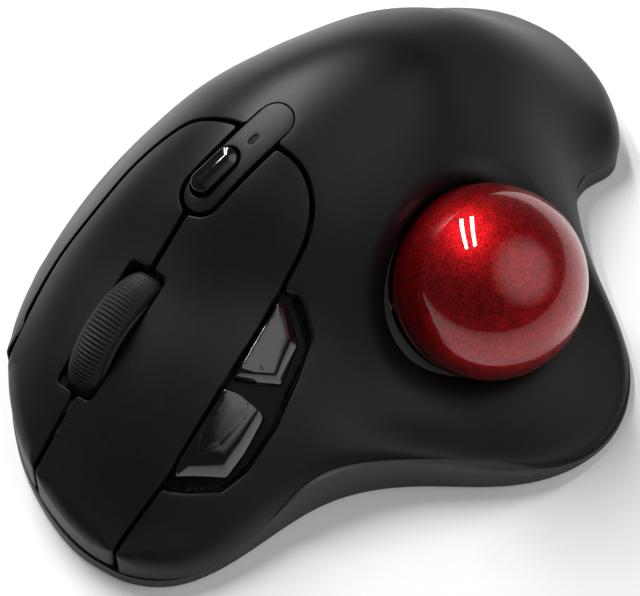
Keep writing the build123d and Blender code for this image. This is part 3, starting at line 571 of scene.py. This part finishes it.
def socket_rings(count=160):
    """The socket's lip: rings from the case's surface rolling down beside the ball, then back under."""
    rings = [np.zeros((count, 3)) for _ in range(LIP_ROWS + 4)]
    for i in range(count):
        turn = -2 * pi * i / count
        out = SOCKET_ACROSS * cos(turn) + Vector((0, 1, 0)) * sin(turn)
        start_h = socket_point(LIP_R, turn)
        slope = (socket_point(LIP_R + LIP_PROBE, turn) - start_h) / LIP_PROBE
        end_h = min(start_h - LIP_DROP, LIP_END)
        end_r = sqrt((BALL_R + BALL_GAP) ** 2 - end_h**2)
        way = Vector((end_h, end_r)).normalized()
        start, finish = np.array([LIP_R, start_h]), np.array([end_r, end_h])
        reach = np.linalg.norm(finish - start)
        pull = np.array([-1, -slope]) / sqrt(1 + slope * slope) * reach * LIP_BEND
        push = np.array([way.x, -way.y]) * reach * LIP_BEND
        for k in range(LIP_ROWS + 1):
            t = k / LIP_ROWS
            at = ((2 * t**3 - 3 * t**2 + 1) * start + (t**3 - 2 * t**2 + t) * pull
                  + (3 * t**2 - 2 * t**3) * finish + (t**3 - t**2) * push)
            rings[k][i] = BALL + out * at[0] + SOCKET_UP * at[1]
        low = finish + np.array([way.x, -way.y]) * LIP_EDGE
        rings[-3][i] = BALL + out * (low[0] + LIP_THICK) + SOCKET_UP * low[1]
        rings[-2][i] = BALL + out * (end_r + LIP_BACK[0]) + SOCKET_UP * (end_h + LIP_BACK[1])
        rings[-1][i] = BALL + out * LIP_R + SOCKET_UP * start_h - Vector((0, 0, WALL))
    return rings


def palm_shell():
    """The palm shell: hump, cheeks and the dish round the ball."""
    lip = socket_rings()
    socket = lip[0][:, :2]
    strip = strip_zone(FINE_SEAM)
    recess = rounded(RECESS, 0.7)
    holes = [left_hole, right_hole, strip, recess]

    def keep(points):
        kept = inside(points, outline) & ~inside(points, socket)
        for hole in holes:
            kept &= ~inside(points, hole)
        return kept

    loops = region_loops(
        [outline] + holes, lambda p: keep(p) | (inside(p, socket) & inside(p, outline)))
    biggest = max(loops, key=len)

    def radius(points):
        seam = np.where(distance(points, recess) < 0.5, 1.0, 0.25)
        seam = np.where(distance(points, strip) < 0.4, 0.1, seam)
        return np.where(from_outline(points) < 0.7, 2.6, seam)

    return skin("palm_shell", [biggest], radius, lambda p: skirt_floor(p, PART_GAP, WALL), WALL,
                profiles=[lip])


def button_skin(name, seam, side):
    """A main button: thin skin with a rounded nose and soft edges at the seams."""
    zone = button_zone(seam, side, SEAM)
    strip = strip_zone(SEAM)
    edge = beside(outline, 0.25, closed=True)

    def keep(points):
        return (inside(points, edge) & inside(points, zone) & ~inside(points, strip)
                & ~inside(points, wheel_slot))

    loops = region_loops([edge, zone, strip, wheel_slot], keep)
    biggest = max(loops, key=len)
    return skin(name, [biggest], lambda p: edge_reach(p, 2.0, 0.28, 1.0),
                lambda p: skirt_floor(p, BUTTON_DROP, WALL), WALL, step=0.5, grid=1.2)


def strip_skin():
    """The centre strip, with the DPI button's hole and the status light's slot."""
    outer = strip_zone(0)
    dpi = capsule(DPI_AT, strip_way, DPI_L + 0.6, DPI_W + 0.6)
    light = capsule(LIGHT_AT, strip_way, 2.2, 1.0)
    loops = region_loops(
        [outer, dpi, light], lambda p: inside(p, outer) & ~inside(p, dpi) & ~inside(p, light))
    return skin("strip_cover", loops, lambda p: np.full(len(p), 0.14), lambda p: height(p) - WALL, 1.5,
                step=0.3, grid=0.8, corner=0.3)


def paired(points, others, step=0.15, blur=3.0):
    """Two outlines with matching corners as fine loops, point for point, with their corners softened."""
    first, second = [], []
    for i in range(len(points)):
        a, b = (np.array(points[k % len(points)], float) for k in (i, i + 1))
        c, d = (np.array(others[k % len(points)], float) for k in (i, i + 1))
        count = max(int(round(np.linalg.norm(b - a) / step)), 4)
        for k in range(count):
            first.append(a + (b - a) * k / count)
            second.append(c + (d - c) * k / count)
    return circular_blur(np.array(first)[::-1], blur), circular_blur(np.array(second)[::-1], blur)


def cap_skin(name, base, crown):
    """A glossy side button: a top face, and a broad flank that curves down from it to the hollow."""
    outer, inner = paired(base, crown)
    rim = inner + CAP_EDGE * (beside(inner, 1, closed=True) - inner)

    def raised(points):
        return height(points) + CAP_PROUD + CROWN_RISE * ramp(distance(points, inner) / CROWN_REACH)

    edge = raised(rim) - CAP_EDGE_DROP
    foot = height(outer) - CAP_FOOT
    rings = [np.column_stack([rim, raised(rim)]), np.column_stack([inner, edge])]
    (first_out, first_drop), (round_out, round_drop) = FLANK_START, FLANK_ROUND
    for k in range(1, FLANK_ROWS + 1):
        share = k / FLANK_ROWS
        turn = pi / 2 * share
        out = first_out + (1 - first_out) * (round_out * sin(turn) + (1 - round_out) * share)
        fall = round_drop * (1 - cos(turn)) + (1 - round_drop) * share
        drop = first_drop + (1 - first_drop) * fall
        rings.append(np.column_stack([inner + (outer - inner) * out, edge + (foot - edge) * drop]))
    rings.append(np.column_stack([outer, foot - CAP_SKIRT]))
    rings.append(np.column_stack([rim, height(rim) - CAP_FOOT - CAP_SKIRT]))
    rings.append(np.column_stack([rim, raised(rim) - CAP_WALL]))
    return skin(name, [], None, None, CAP_WALL, grid=0.5, top=raised, profiles=[rings])


def bezel_skin():
    """The glossy hollow round the side buttons: it falls away from its rim and runs on under the caps."""
    points = [(RECESS[0][0] + 2.5, RECESS[0][1])] + RECESS[1:-1] + [(RECESS[-1][0] + 1.5, RECESS[-1][1])]
    outer = rounded(points, 0.7, -FINE_SEAM)
    rim = through(RECESS[1:-1], 0.2)
    button = button_zone(left_seam, -1, SEAM - 0.05)

    def sunk(points):
        from_rim = ramp(distance(points, rim) / 1.2)
        from_seam = ramp(1.9 - distance(points, left_seam) / 0.8)
        return height(points) - 0.35 - SCOOP * np.maximum(from_rim, from_seam)

    loops = region_loops([outer, button], lambda p: inside(p, outer) & ~inside(p, button))
    biggest = max(loops, key=len)
    return skin("side_bezel", [biggest], lambda p: np.full(len(p), 0.2), lambda p: sunk(p) - 1.2, 1.0,
                step=0.25, grid=0.5, corner=0.3, top=sunk)


def dpi_cap():
    """The DPI button: a capsule with a crowned top and rounded shoulders, square to the strip."""
    side_way = Vector((strip_way[0], strip_way[1], 0))
    along = (side_way - STRIP_NORMAL * side_way.dot(STRIP_NORMAL)).normalized()
    across = STRIP_NORMAL.cross(along)
    origin = Vector((DPI_AT[0], DPI_AT[1], height(np.array([DPI_AT]))[0]))
    loop = capsule((0, 0), (1, 0), DPI_L, DPI_W, 20)
    verts, rows = [], []
    shoulder, crown = DPI_PROUD - DPI_SHOULDER, DPI_PROUD - DPI_CROWN
    shape = [(1, -DPI_DEPTH), (1, shoulder)]
    for k in range(1, 6):
        a = DPI_TURN * k / 5
        shape.append((1 - DPI_ROUND / (DPI_W / 2) * (1 - cos(a)) * 1.9, shoulder + DPI_ROUND * sin(a)))
    shape += [(1 - 0.353 - 0.16 * k, crown + DPI_CROWN * sin(pi / 2 * (k + 1) / 5)) for k in range(4)]
    for share, rise in shape:
        trim = (1 - share) * DPI_W / 2
        row = []
        for p in loop:
            core = Vector((max(-(DPI_L - DPI_W) / 2, min((DPI_L - DPI_W) / 2, p[0])), 0))
            spoke = Vector(p) - core
            at = core + spoke * (1 - trim / spoke.length)
            row.append(len(verts))
            verts.append(origin + along * at.x + across * at.y + STRIP_NORMAL * rise)
        rows.append(row)
    faces = []
    for lower, upper in zip(rows, rows[1:]):
        for i in range(len(loop)):
            j = (i + 1) % len(loop)
            faces.append((lower[i], lower[j], upper[j], upper[i]))
    faces += [tuple(rows[-1]), tuple(reversed(rows[0]))]
    return make_piece("dpi_cap", verts, faces)


# ---------------------------------------------------------------- ball and wheel
def ball_piece():
    """The trackball, fine enough for a clean outline."""
    mesh = bpy.data.meshes.new("ball")
    shape = bmesh.new()
    bmesh.ops.create_icosphere(shape, subdivisions=6, radius=BALL_R * MM)
    bmesh.ops.translate(shape, verts=shape.verts, vec=BALL * MM)
    shape.to_mesh(mesh)
    shape.free()
    mesh.polygons.foreach_set("use_smooth", [True] * len(mesh.polygons))
    piece = bpy.data.objects.new("ball", mesh)
    bpy.context.scene.collection.objects.link(piece)
    return piece


TYRE_RIBS = 96
RIB_STEPS = 6  # segments from one rib to the next
RIB_DEPTH = 0.34
RIB_FLAT = 1.7  # above 1, the ribs and the grooves between them are flat
TYRE_CORE = 10.6


def ribbed_tyre():
    """The scroll wheel's rubber tyre: a crowned tread with fine cross ribs and smooth shoulders."""
    segments = TYRE_RIBS * RIB_STEPS
    half = WHEEL_W / 2
    # place across the tyre, drop below its crown, share of the ribs' depth
    left = [(-half, 1.9, 0), (-half + 0.12, 1.45, 0), (-half + 0.5, 1.0, 0.25),
            (-half + 0.95, 0.62, 0.9), (-half * 0.45, 0.2, 1)]
    tread = left + [(0, 0.06, 1)] + [(-x, drop, share) for x, drop, share in reversed(left)]
    stations = [(x, WHEEL_R - drop, share) for x, drop, share in tread]
    stations += [(half, TYRE_CORE, 0), (-half, TYRE_CORE, 0)]
    verts, faces = [], []
    for k in range(segments):
        turn = 2 * pi * k / segments
        wave = max(-1.0, min(1.0, RIB_FLAT * cos(turn * TYRE_RIBS)))
        for x, radius, share in stations:
            r = radius - RIB_DEPTH * share * (0.5 - 0.5 * wave)
            verts.append((WHEEL.x + x, WHEEL.y + r * cos(turn), WHEEL.z + r * sin(turn)))
    count = len(stations)
    for k in range(segments):
        here, there = k * count, (k + 1) % segments * count
        for i in range(count):
            j = (i + 1) % count
            faces.append((here + i, here + j, there + j, there + i))
    return make_piece("tyre", verts, faces, crease=60)


COIL_WIRE = 0.2
COIL_TURNS = 5
COIL_STEPS = 28  # along each turn
COIL_SIDES = 8  # round the wire


def coil_springs():
    """The wheel's two return springs, coiled to fill the box of their CAD node."""
    low, high = (Vector(v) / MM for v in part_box("wheel_springs"))
    radius = (high.x - low.x) / 2 - COIL_WIRE
    rise = high.z - low.z - 2 * COIL_WIRE
    steps, sides = COIL_TURNS * COIL_STEPS, COIL_SIDES
    verts, faces = [], []
    for y in (low.y + radius + COIL_WIRE, high.y - radius - COIL_WIRE):
        first = len(verts)
        for k in range(steps + 1):
            turn = 2 * pi * COIL_TURNS * k / steps
            for s in range(sides):
                a = 2 * pi * s / sides
                r = radius + COIL_WIRE * cos(a)
                z = low.z + COIL_WIRE * (1 + sin(a)) + rise * k / steps
                verts.append((WHEEL.x + r * cos(turn), y + r * sin(turn), z))
        for k in range(steps):
            for s in range(sides):
                here, beyond = first + k * sides, first + (k + 1) * sides
                faces.append((here + s, here + (s + 1) % sides, beyond + (s + 1) % sides, beyond + s))
        faces += [tuple(range(first, first + sides)), tuple(range(len(verts) - sides, len(verts)))]
    return make_piece("wheel_coils", verts, faces)


# ---------------------------------------------------------------- materials
def node(tree, kind, **values):
    """A node with some of its inputs and settings filled in."""
    made = tree.nodes.new(kind)
    for key, value in values.items():
        if key in made.inputs:
            made.inputs[key].default_value = value
        else:
            setattr(made, key, value)
    return made


def spread(tree, source, low, high, to_low, to_high):
    """A number moved from one range to another."""
    change = node(tree, "ShaderNodeMapRange")
    for key, value in (("From Min", low), ("From Max", high), ("To Min", to_low), ("To Max", to_high)):
        change.inputs[key].default_value = value
    tree.links.new(source, change.inputs["Value"])
    return change.outputs["Result"]


def noise(tree, place, scale, detail=3.0, rough=0.5):
    """Soft noise whose grain is about 1/scale metres."""
    made = node(tree, "ShaderNodeTexNoise", Scale=scale, Detail=detail, Roughness=rough)
    tree.links.new(place, made.inputs["Vector"])
    return made.outputs["Fac"]


def tint(tree, factor, dark, light):
    """A colour between two, by a factor."""
    blend = node(tree, "ShaderNodeMix", data_type="RGBA")
    blend.inputs[6].default_value = (*dark, 1)
    blend.inputs[7].default_value = (*light, 1)
    tree.links.new(factor, blend.inputs[0])
    return blend.outputs[2]


def bump(tree, heights, strength, depth):
    """Bumps of that depth in metres."""
    made = node(tree, "ShaderNodeBump", Strength=strength, Distance=depth)
    tree.links.new(heights, made.inputs["Height"])
    return made


def start_material(name, **shader):
    """A material with its shader and object coordinates in metres."""
    made = bpy.data.materials.new(name)
    made.use_nodes = True
    tree = made.node_tree
    surface = tree.nodes["Principled BSDF"]
    for key, value in shader.items():
        surface.inputs[key.replace("_", " ")].default_value = value
    place = tree.nodes.new("ShaderNodeTexCoord").outputs["Object"]
    return made, tree, surface, place


def moulded(name, dark, light, rough, grain=2600.0, depth=0.00002, patches=35.0, strength=0.35, **shader):
    """Moulded plastic: spark-eroded grain, faint mottling, and polish that varies from place to place."""
    made, tree, surface, place = start_material(name, **shader)
    broad = noise(tree, place, patches, 2.0)
    fine = noise(tree, place, grain, 4.0, 0.6)
    mottled = noise(tree, place, grain * 0.35, 2.0)
    colour = tint(tree, spread(tree, mottled, 0.3, 0.7, 0, 1), dark, light)
    tree.links.new(colour, surface.inputs["Base Color"])
    worn = spread(tree, broad, 0.35, 0.65, rough - 0.05, rough + 0.05)
    speck = node(tree, "ShaderNodeMath", operation="MULTIPLY_ADD")
    tree.links.new(fine, speck.inputs[0])
    speck.inputs[1].default_value = 0.08
    tree.links.new(worn, speck.inputs[2])
    tree.links.new(speck.outputs[0], surface.inputs["Roughness"])
    pits = bump(tree, fine, strength, depth)
    tree.links.new(pits.outputs["Normal"], surface.inputs["Normal"])
    return made


def glossy(name, dark, light, rough, coat=0.6, ripple=60.0, specular=0.5):
    """Polished plastic: faint flow ripples and hairline scuffs under a clear gloss."""
    made, tree, surface, place = start_material(
        name, Coat_Weight=coat, Coat_Roughness=0.03, Specular_IOR_Level=specular)
    scuffs = noise(tree, place, 900.0, 6.0, 0.7)
    flow = noise(tree, place, ripple, 1.0)
    tree.links.new(tint(tree, scuffs, dark, light), surface.inputs["Base Color"])
    tree.links.new(spread(tree, scuffs, 0.45, 0.75, rough, rough + 0.12), surface.inputs["Roughness"])
    waves = bump(tree, flow, 0.12, 0.0002)
    tree.links.new(waves.outputs["Normal"], surface.inputs["Normal"])
    return made


def pearl():
    """Red pearl under clear lacquer: metal flakes that turn the light, deeper red between them."""
    made, tree, surface, place = start_material(
        "pearl_red", Metallic=0.95, Coat_Weight=1.0, Coat_Roughness=0.015, Coat_IOR=1.55)
    flakes = node(tree, "ShaderNodeTexVoronoi", Scale=6500.0)
    tree.links.new(place, flakes.inputs["Vector"])
    part = node(tree, "ShaderNodeSeparateColor")
    tree.links.new(flakes.outputs["Color"], part.inputs["Color"])
    cloud = noise(tree, place, 700.0, 3.0)
    mixed = node(tree, "ShaderNodeMath", operation="MULTIPLY")
    tree.links.new(part.outputs[0], mixed.inputs[0])
    tree.links.new(spread(tree, cloud, 0.3, 0.7, 0.55, 1.25), mixed.inputs[1])
    colour = tint(tree, mixed.outputs[0], (0.1, 0.0004, 0.001), (0.62, 0.004, 0.007))
    tree.links.new(colour, surface.inputs["Base Color"])
    tree.links.new(spread(tree, part.outputs[1], 0, 1, 0.38, 0.56), surface.inputs["Roughness"])
    tilt = bump(tree, part.outputs[2], 0.22, 0.00005)
    tree.links.new(tilt.outputs["Normal"], surface.inputs["Normal"])
    return made


def rubber(name, dark, light):
    """Dull rubber with a fine skin, dusty on its high spots."""
    made, tree, surface, place = start_material(
        name, Sheen_Weight=0.03, Sheen_Roughness=0.4, Specular_IOR_Level=0.3)
    skin_grain = noise(tree, place, 3200.0, 5.0, 0.65)
    dust = noise(tree, place, 160.0, 3.0)
    tree.links.new(tint(tree, spread(tree, dust, 0.4, 0.75, 0, 1), dark, light), surface.inputs["Base Color"])
    tree.links.new(spread(tree, skin_grain, 0.3, 0.7, 0.5, 0.68), surface.inputs["Roughness"])
    grain = bump(tree, skin_grain, 0.4, 0.00003)
    tree.links.new(grain.outputs["Normal"], surface.inputs["Normal"])
    return made


def metal(name, dark, light, rough, stretch=(1, 1, 12)):
    """Drawn or plated metal with fine lines along one way."""
    made, tree, surface, place = start_material(name, Metallic=1.0)
    lines = node(tree, "ShaderNodeMapping", Scale=tuple(1 / s for s in stretch))
    tree.links.new(place, lines.inputs["Vector"])
    streaks = noise(tree, lines.outputs["Vector"], 4200.0, 3.0)
    tree.links.new(tint(tree, streaks, dark, light), surface.inputs["Base Color"])
    tree.links.new(spread(tree, streaks, 0.3, 0.7, rough - 0.08, rough + 0.1), surface.inputs["Roughness"])
    ridges = bump(tree, streaks, 0.15, 0.00001)
    tree.links.new(ridges.outputs["Normal"], surface.inputs["Normal"])
    return made


def circuit(name):
    """Circuit board: solder resist over copper tracks, with tinned pads."""
    made, tree, surface, place = start_material(name, Coat_Weight=0.4, Coat_Roughness=0.15)
    tracks = node(tree, "ShaderNodeTexBrick", Scale=260.0, offset=0.5)
    tracks.inputs["Mortar Size"].default_value = 0.03
    tracks.inputs["Brick Width"].default_value = 1.4
    tree.links.new(place, tracks.inputs["Vector"])
    pads = node(tree, "ShaderNodeTexVoronoi", Scale=330.0)
    tree.links.new(place, pads.inputs["Vector"])
    pad = node(tree, "ShaderNodeMath", operation="LESS_THAN")
    tree.links.new(pads.outputs["Distance"], pad.inputs[0])
    pad.inputs[1].default_value = 0.16
    resist = tint(tree, tracks.outputs["Fac"], (0.008, 0.085, 0.03), (0.03, 0.2, 0.07))
    metalled = node(tree, "ShaderNodeMix", data_type="RGBA")
    metalled.inputs[7].default_value = (0.62, 0.6, 0.55, 1)
    tree.links.new(pad.outputs[0], metalled.inputs[0])
    tree.links.new(resist, metalled.inputs[6])
    tree.links.new(metalled.outputs[2], surface.inputs["Base Color"])
    tree.links.new(pad.outputs[0], surface.inputs["Metallic"])
    tree.links.new(spread(tree, noise(tree, place, 800.0), 0.3, 0.7, 0.28, 0.42), surface.inputs["Roughness"])
    step = bump(tree, tracks.outputs["Fac"], 0.3, 0.00003)
    tree.links.new(step.outputs["Normal"], surface.inputs["Normal"])
    return made


def clear(name, colour, rough, transmission, specular=0.5):
    """Clear or smoked plastic with a slightly uneven surface."""
    made, tree, surface, place = start_material(
        name, Transmission_Weight=transmission, IOR=1.49, Specular_IOR_Level=specular)
    haze = noise(tree, place, 900.0, 3.0)
    tree.links.new(tint(tree, haze, tuple(c * 0.9 for c in colour), colour), surface.inputs["Base Color"])
    tree.links.new(spread(tree, haze, 0.3, 0.7, rough, rough + 0.08), surface.inputs["Roughness"])
    return made


def cell_sleeve():
    """The battery's printed sleeve: plain bands along it and a bare metal end."""
    made, tree, surface, place = start_material(
        "cell_sleeve", Metallic=0.7, Coat_Weight=0.5, Coat_Roughness=0.08)
    low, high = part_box("battery_cell")
    axes = node(tree, "ShaderNodeSeparateXYZ")
    tree.links.new(place, axes.inputs[0])
    share = spread(tree, axes.outputs["Y"], low.y, high.y, 0, 1)
    bands = node(tree, "ShaderNodeValToRGB")
    bands.color_ramp.interpolation = "CONSTANT"
    stops = [(0.03, (0.025, 0.03, 0.035)), (0.66, (0.55, 0.22, 0.05)), (0.7, (0.42, 0.43, 0.42)),
             (0.95, (0.66, 0.66, 0.64))]
    ends = bands.color_ramp.elements
    ends.remove(ends[1])
    ends[0].color = (0.62, 0.62, 0.6, 1)
    for at, colour in stops:
        ends.new(at).color = (*colour, 1)
    tree.links.new(share, bands.inputs["Fac"])
    tree.links.new(bands.outputs["Color"], surface.inputs["Base Color"])
    grain = noise(tree, place, 1500.0, 3.0)
    tree.links.new(spread(tree, grain, 0.3, 0.7, 0.2, 0.36), surface.inputs["Roughness"])
    return made


MATERIALS = {
    "shell": moulded("soft_touch", (0.004, 0.0043, 0.005), (0.0058, 0.0062, 0.007), 0.4,
                     Specular_IOR_Level=0.27),
    "case": moulded("case_texture", (0.012, 0.0124, 0.0134), (0.017, 0.0174, 0.0184), 0.5, grain=1900.0,
                    depth=0.00004, strength=0.5),
    "gloss": glossy("piano_black", (0.0035, 0.0035, 0.004), (0.006, 0.006, 0.0066), 0.08, coat=1.0),
    "bezel": glossy("bezel_black", (0.003, 0.003, 0.0034), (0.005, 0.005, 0.0054), 0.34, coat=0.0,
                    specular=0.1),
    "ball": pearl(),
    "rubber": rubber("rubber", (0.0055, 0.0055, 0.0058), (0.011, 0.011, 0.011)),
    "inner_plastic": moulded("inner_plastic", (0.04, 0.04, 0.043), (0.055, 0.055, 0.059), 0.52, grain=1400.0),
    "white_plastic": moulded("white_plastic", (0.66, 0.66, 0.62), (0.76, 0.76, 0.72), 0.45, grain=1600.0,
                             Subsurface_Weight=0.05),
    "board": circuit("circuit_board"),
    "chip": moulded("chip_epoxy", (0.012, 0.012, 0.013), (0.02, 0.02, 0.021), 0.42, grain=5200.0,
                    strength=0.5),
    "steel": metal("plated_steel", (0.42, 0.42, 0.43), (0.68, 0.68, 0.68), 0.28),
    "brass": metal("plated_brass", (0.52, 0.37, 0.15), (0.78, 0.6, 0.3), 0.3),
    "ceramic": moulded("ceramic", (0.8, 0.8, 0.77), (0.87, 0.87, 0.85), 0.12, strength=0.05),
    "lens": clear("lens_plastic", (0.86, 0.88, 0.9), 0.04, 0.9),
    "light": clear("smoked_light", (0.004, 0.005, 0.005), 0.5, 0.1, specular=0.12),
    "cell": cell_sleeve(),
}


# ---------------------------------------------------------------- pieces on their bodies
def place_pieces():
    """The visible skins and the springs, each on its body and in place of its CAD node."""
    coils = coil_springs()
    rows = [
        (palm_shell(), "root", "top_shell", "shell"),
        (button_skin("left_click_skin", left_seam, -1), "left_click_body", "left_button", "shell"),
        (button_skin("right_click_skin", right_seam, 1), "right_click_body", "right_button", "shell"),
        (strip_skin(), "root", "centre_strip", "shell"),
        (dpi_cap(), "dpi_body", "dpi_button", "gloss"),
        (cap_skin("back_cap", BACK_CAP, BACK_CROWN), "back_body", "back_button", "gloss"),
        (cap_skin("forward_cap", FORWARD_CAP, FORWARD_CROWN), "forward_body", "forward_button", "gloss"),
        (bezel_skin(), "root", "side_button_bezel", "bezel"),
        (ball_piece(), "ball", "trackball", "ball"),
        (ribbed_tyre(), "wheel", "wheel_tyre", "rubber"),
        (coils, "root", "wheel_springs", "steel"),
    ]
    for piece, body, cad_node, slot in rows:
        piece.data.materials.append(MATERIALS[slot])
        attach(piece, body)
        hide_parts(cad_node)
    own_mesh(coils)


def dress_nodes():
    """Every other CAD node takes its slot's material."""
    slots = {part["node"]: part["material_slot"] for part in frame["record"]["subparts"]}
    for name, piece in frame["nodes"].items():
        for holder in piece.material_slots:
            holder.material = MATERIALS[slots[name]]


# ---------------------------------------------------------------- floor, light and camera
def white_floor():
    """A pale floor under the mouse."""
    made, tree, surface, place = start_material("floor", Roughness=0.6, Emission_Strength=0.1)
    surface.inputs["Emission Color"].default_value = (1, 1, 1, 1)
    grain = noise(tree, place, 4.0)
    tree.links.new(tint(tree, grain, (0.86, 0.86, 0.86), (0.9, 0.9, 0.9)), surface.inputs["Base Color"])
    mesh = bpy.data.meshes.new("floor")
    far = 3.0
    mesh.from_pydata([(-far, -far, 0), (far, -far, 0), (far, far, 0), (-far, far, 0)], [], [(0, 1, 2, 3)])
    floor = bpy.data.objects.new("floor", mesh)
    bpy.context.scene.collection.objects.link(floor)
    floor.data.materials.append(made)


CAMERA_SIDE = radians(216)  # the way that it looks from, seen from above
CAMERA_TILT = radians(60)  # and its angle above the floor
CAMERA_AT = (-146.14, 212.91, 452.89)
CAMERA_LENS = 163.8


def camera():
    """The camera: from the front left and above, looking back over the buttons."""
    holder = bpy.data.objects.new("camera", bpy.data.cameras.new("camera"))
    bpy.context.scene.collection.objects.link(holder)
    turn, tilt = CAMERA_SIDE, CAMERA_TILT
    back = Vector((sin(turn) * cos(tilt), -cos(turn) * cos(tilt), sin(tilt)))
    right = Vector((cos(turn), sin(turn), 0))
    up = back.cross(right)
    place = Matrix((right, up, back)).transposed().to_4x4()
    place.translation = Vector(CAMERA_AT) * MM
    holder.matrix_world = place
    holder.data.sensor_width = 36
    holder.data.lens = CAMERA_LENS
    bpy.context.scene.camera = holder


SURROUND = 0.05  # radiance of the studio's surround, and what the soft glow on its left adds
GLOW = 1.15
GLOW_WAY = (-0.62, -0.2, 0.76)
GLOW_EDGE = 0.70  # cosine of the angle where the glow ends
LAMP_WAY = (0.608, -0.193, 0.770)  # from the ball towards the two strip lights
LAMP_LENGTH = (0.456, -0.710, -0.536)  # the way that they run
LAMP_FAR = 0.7  # metres, as are their places and sizes
LAMP_ASIDE = 0.06
LAMP_SIZE = (0.045, 0.52)
LAMP_POWER = 2.9


def strip_light(place, apart, length, way):
    """One narrow light at a place, long side along length, shining back against way."""
    lamp = bpy.data.lights.new("strip", "AREA")
    lamp.shape = "RECTANGLE"
    lamp.size, lamp.size_y = LAMP_SIZE
    lamp.energy = LAMP_POWER
    holder = bpy.data.objects.new("strip", lamp)
    bpy.context.scene.collection.objects.link(holder)
    turn = Matrix((apart, -length, way)).transposed().to_4x4()
    holder.matrix_world = Matrix.Translation(place) @ turn


def lights():
    """Soft studio light: two narrow strip boxes high on the right, and a dim surround with a soft glow."""
    world = bpy.data.worlds.new("studio")
    world.use_nodes = True
    tree = world.node_tree
    back = tree.nodes["Background"]
    back.inputs["Color"].default_value = (1, 1, 1, 1)
    facing = node(tree, "ShaderNodeVectorMath", operation="DOT_PRODUCT")
    tree.links.new(tree.nodes.new("ShaderNodeTexCoord").outputs["Generated"], facing.inputs[0])
    facing.inputs[1].default_value = Vector(GLOW_WAY).normalized()
    share = node(tree, "ShaderNodeMapRange", interpolation_type="SMOOTHERSTEP")
    share.inputs["From Min"].default_value = GLOW_EDGE
    share.inputs["To Min"].default_value = SURROUND
    share.inputs["To Max"].default_value = SURROUND + GLOW
    tree.links.new(facing.outputs["Value"], share.inputs["Value"])
    tree.links.new(share.outputs["Result"], back.inputs["Strength"])
    bpy.context.scene.world = world
    aim = BALL * MM
    way = Vector(LAMP_WAY).normalized()
    length = Vector(LAMP_LENGTH)
    length = (length - way * length.dot(way)).normalized()
    apart = way.cross(length).normalized()
    for side in (-1, 1):
        strip_light(aim + way * LAMP_FAR + apart * side * LAMP_ASIDE, apart, length, way)


bpy.context.scene.view_settings.view_transform = "Standard"
place_pieces()
dress_nodes()
white_floor()
lights()
camera()
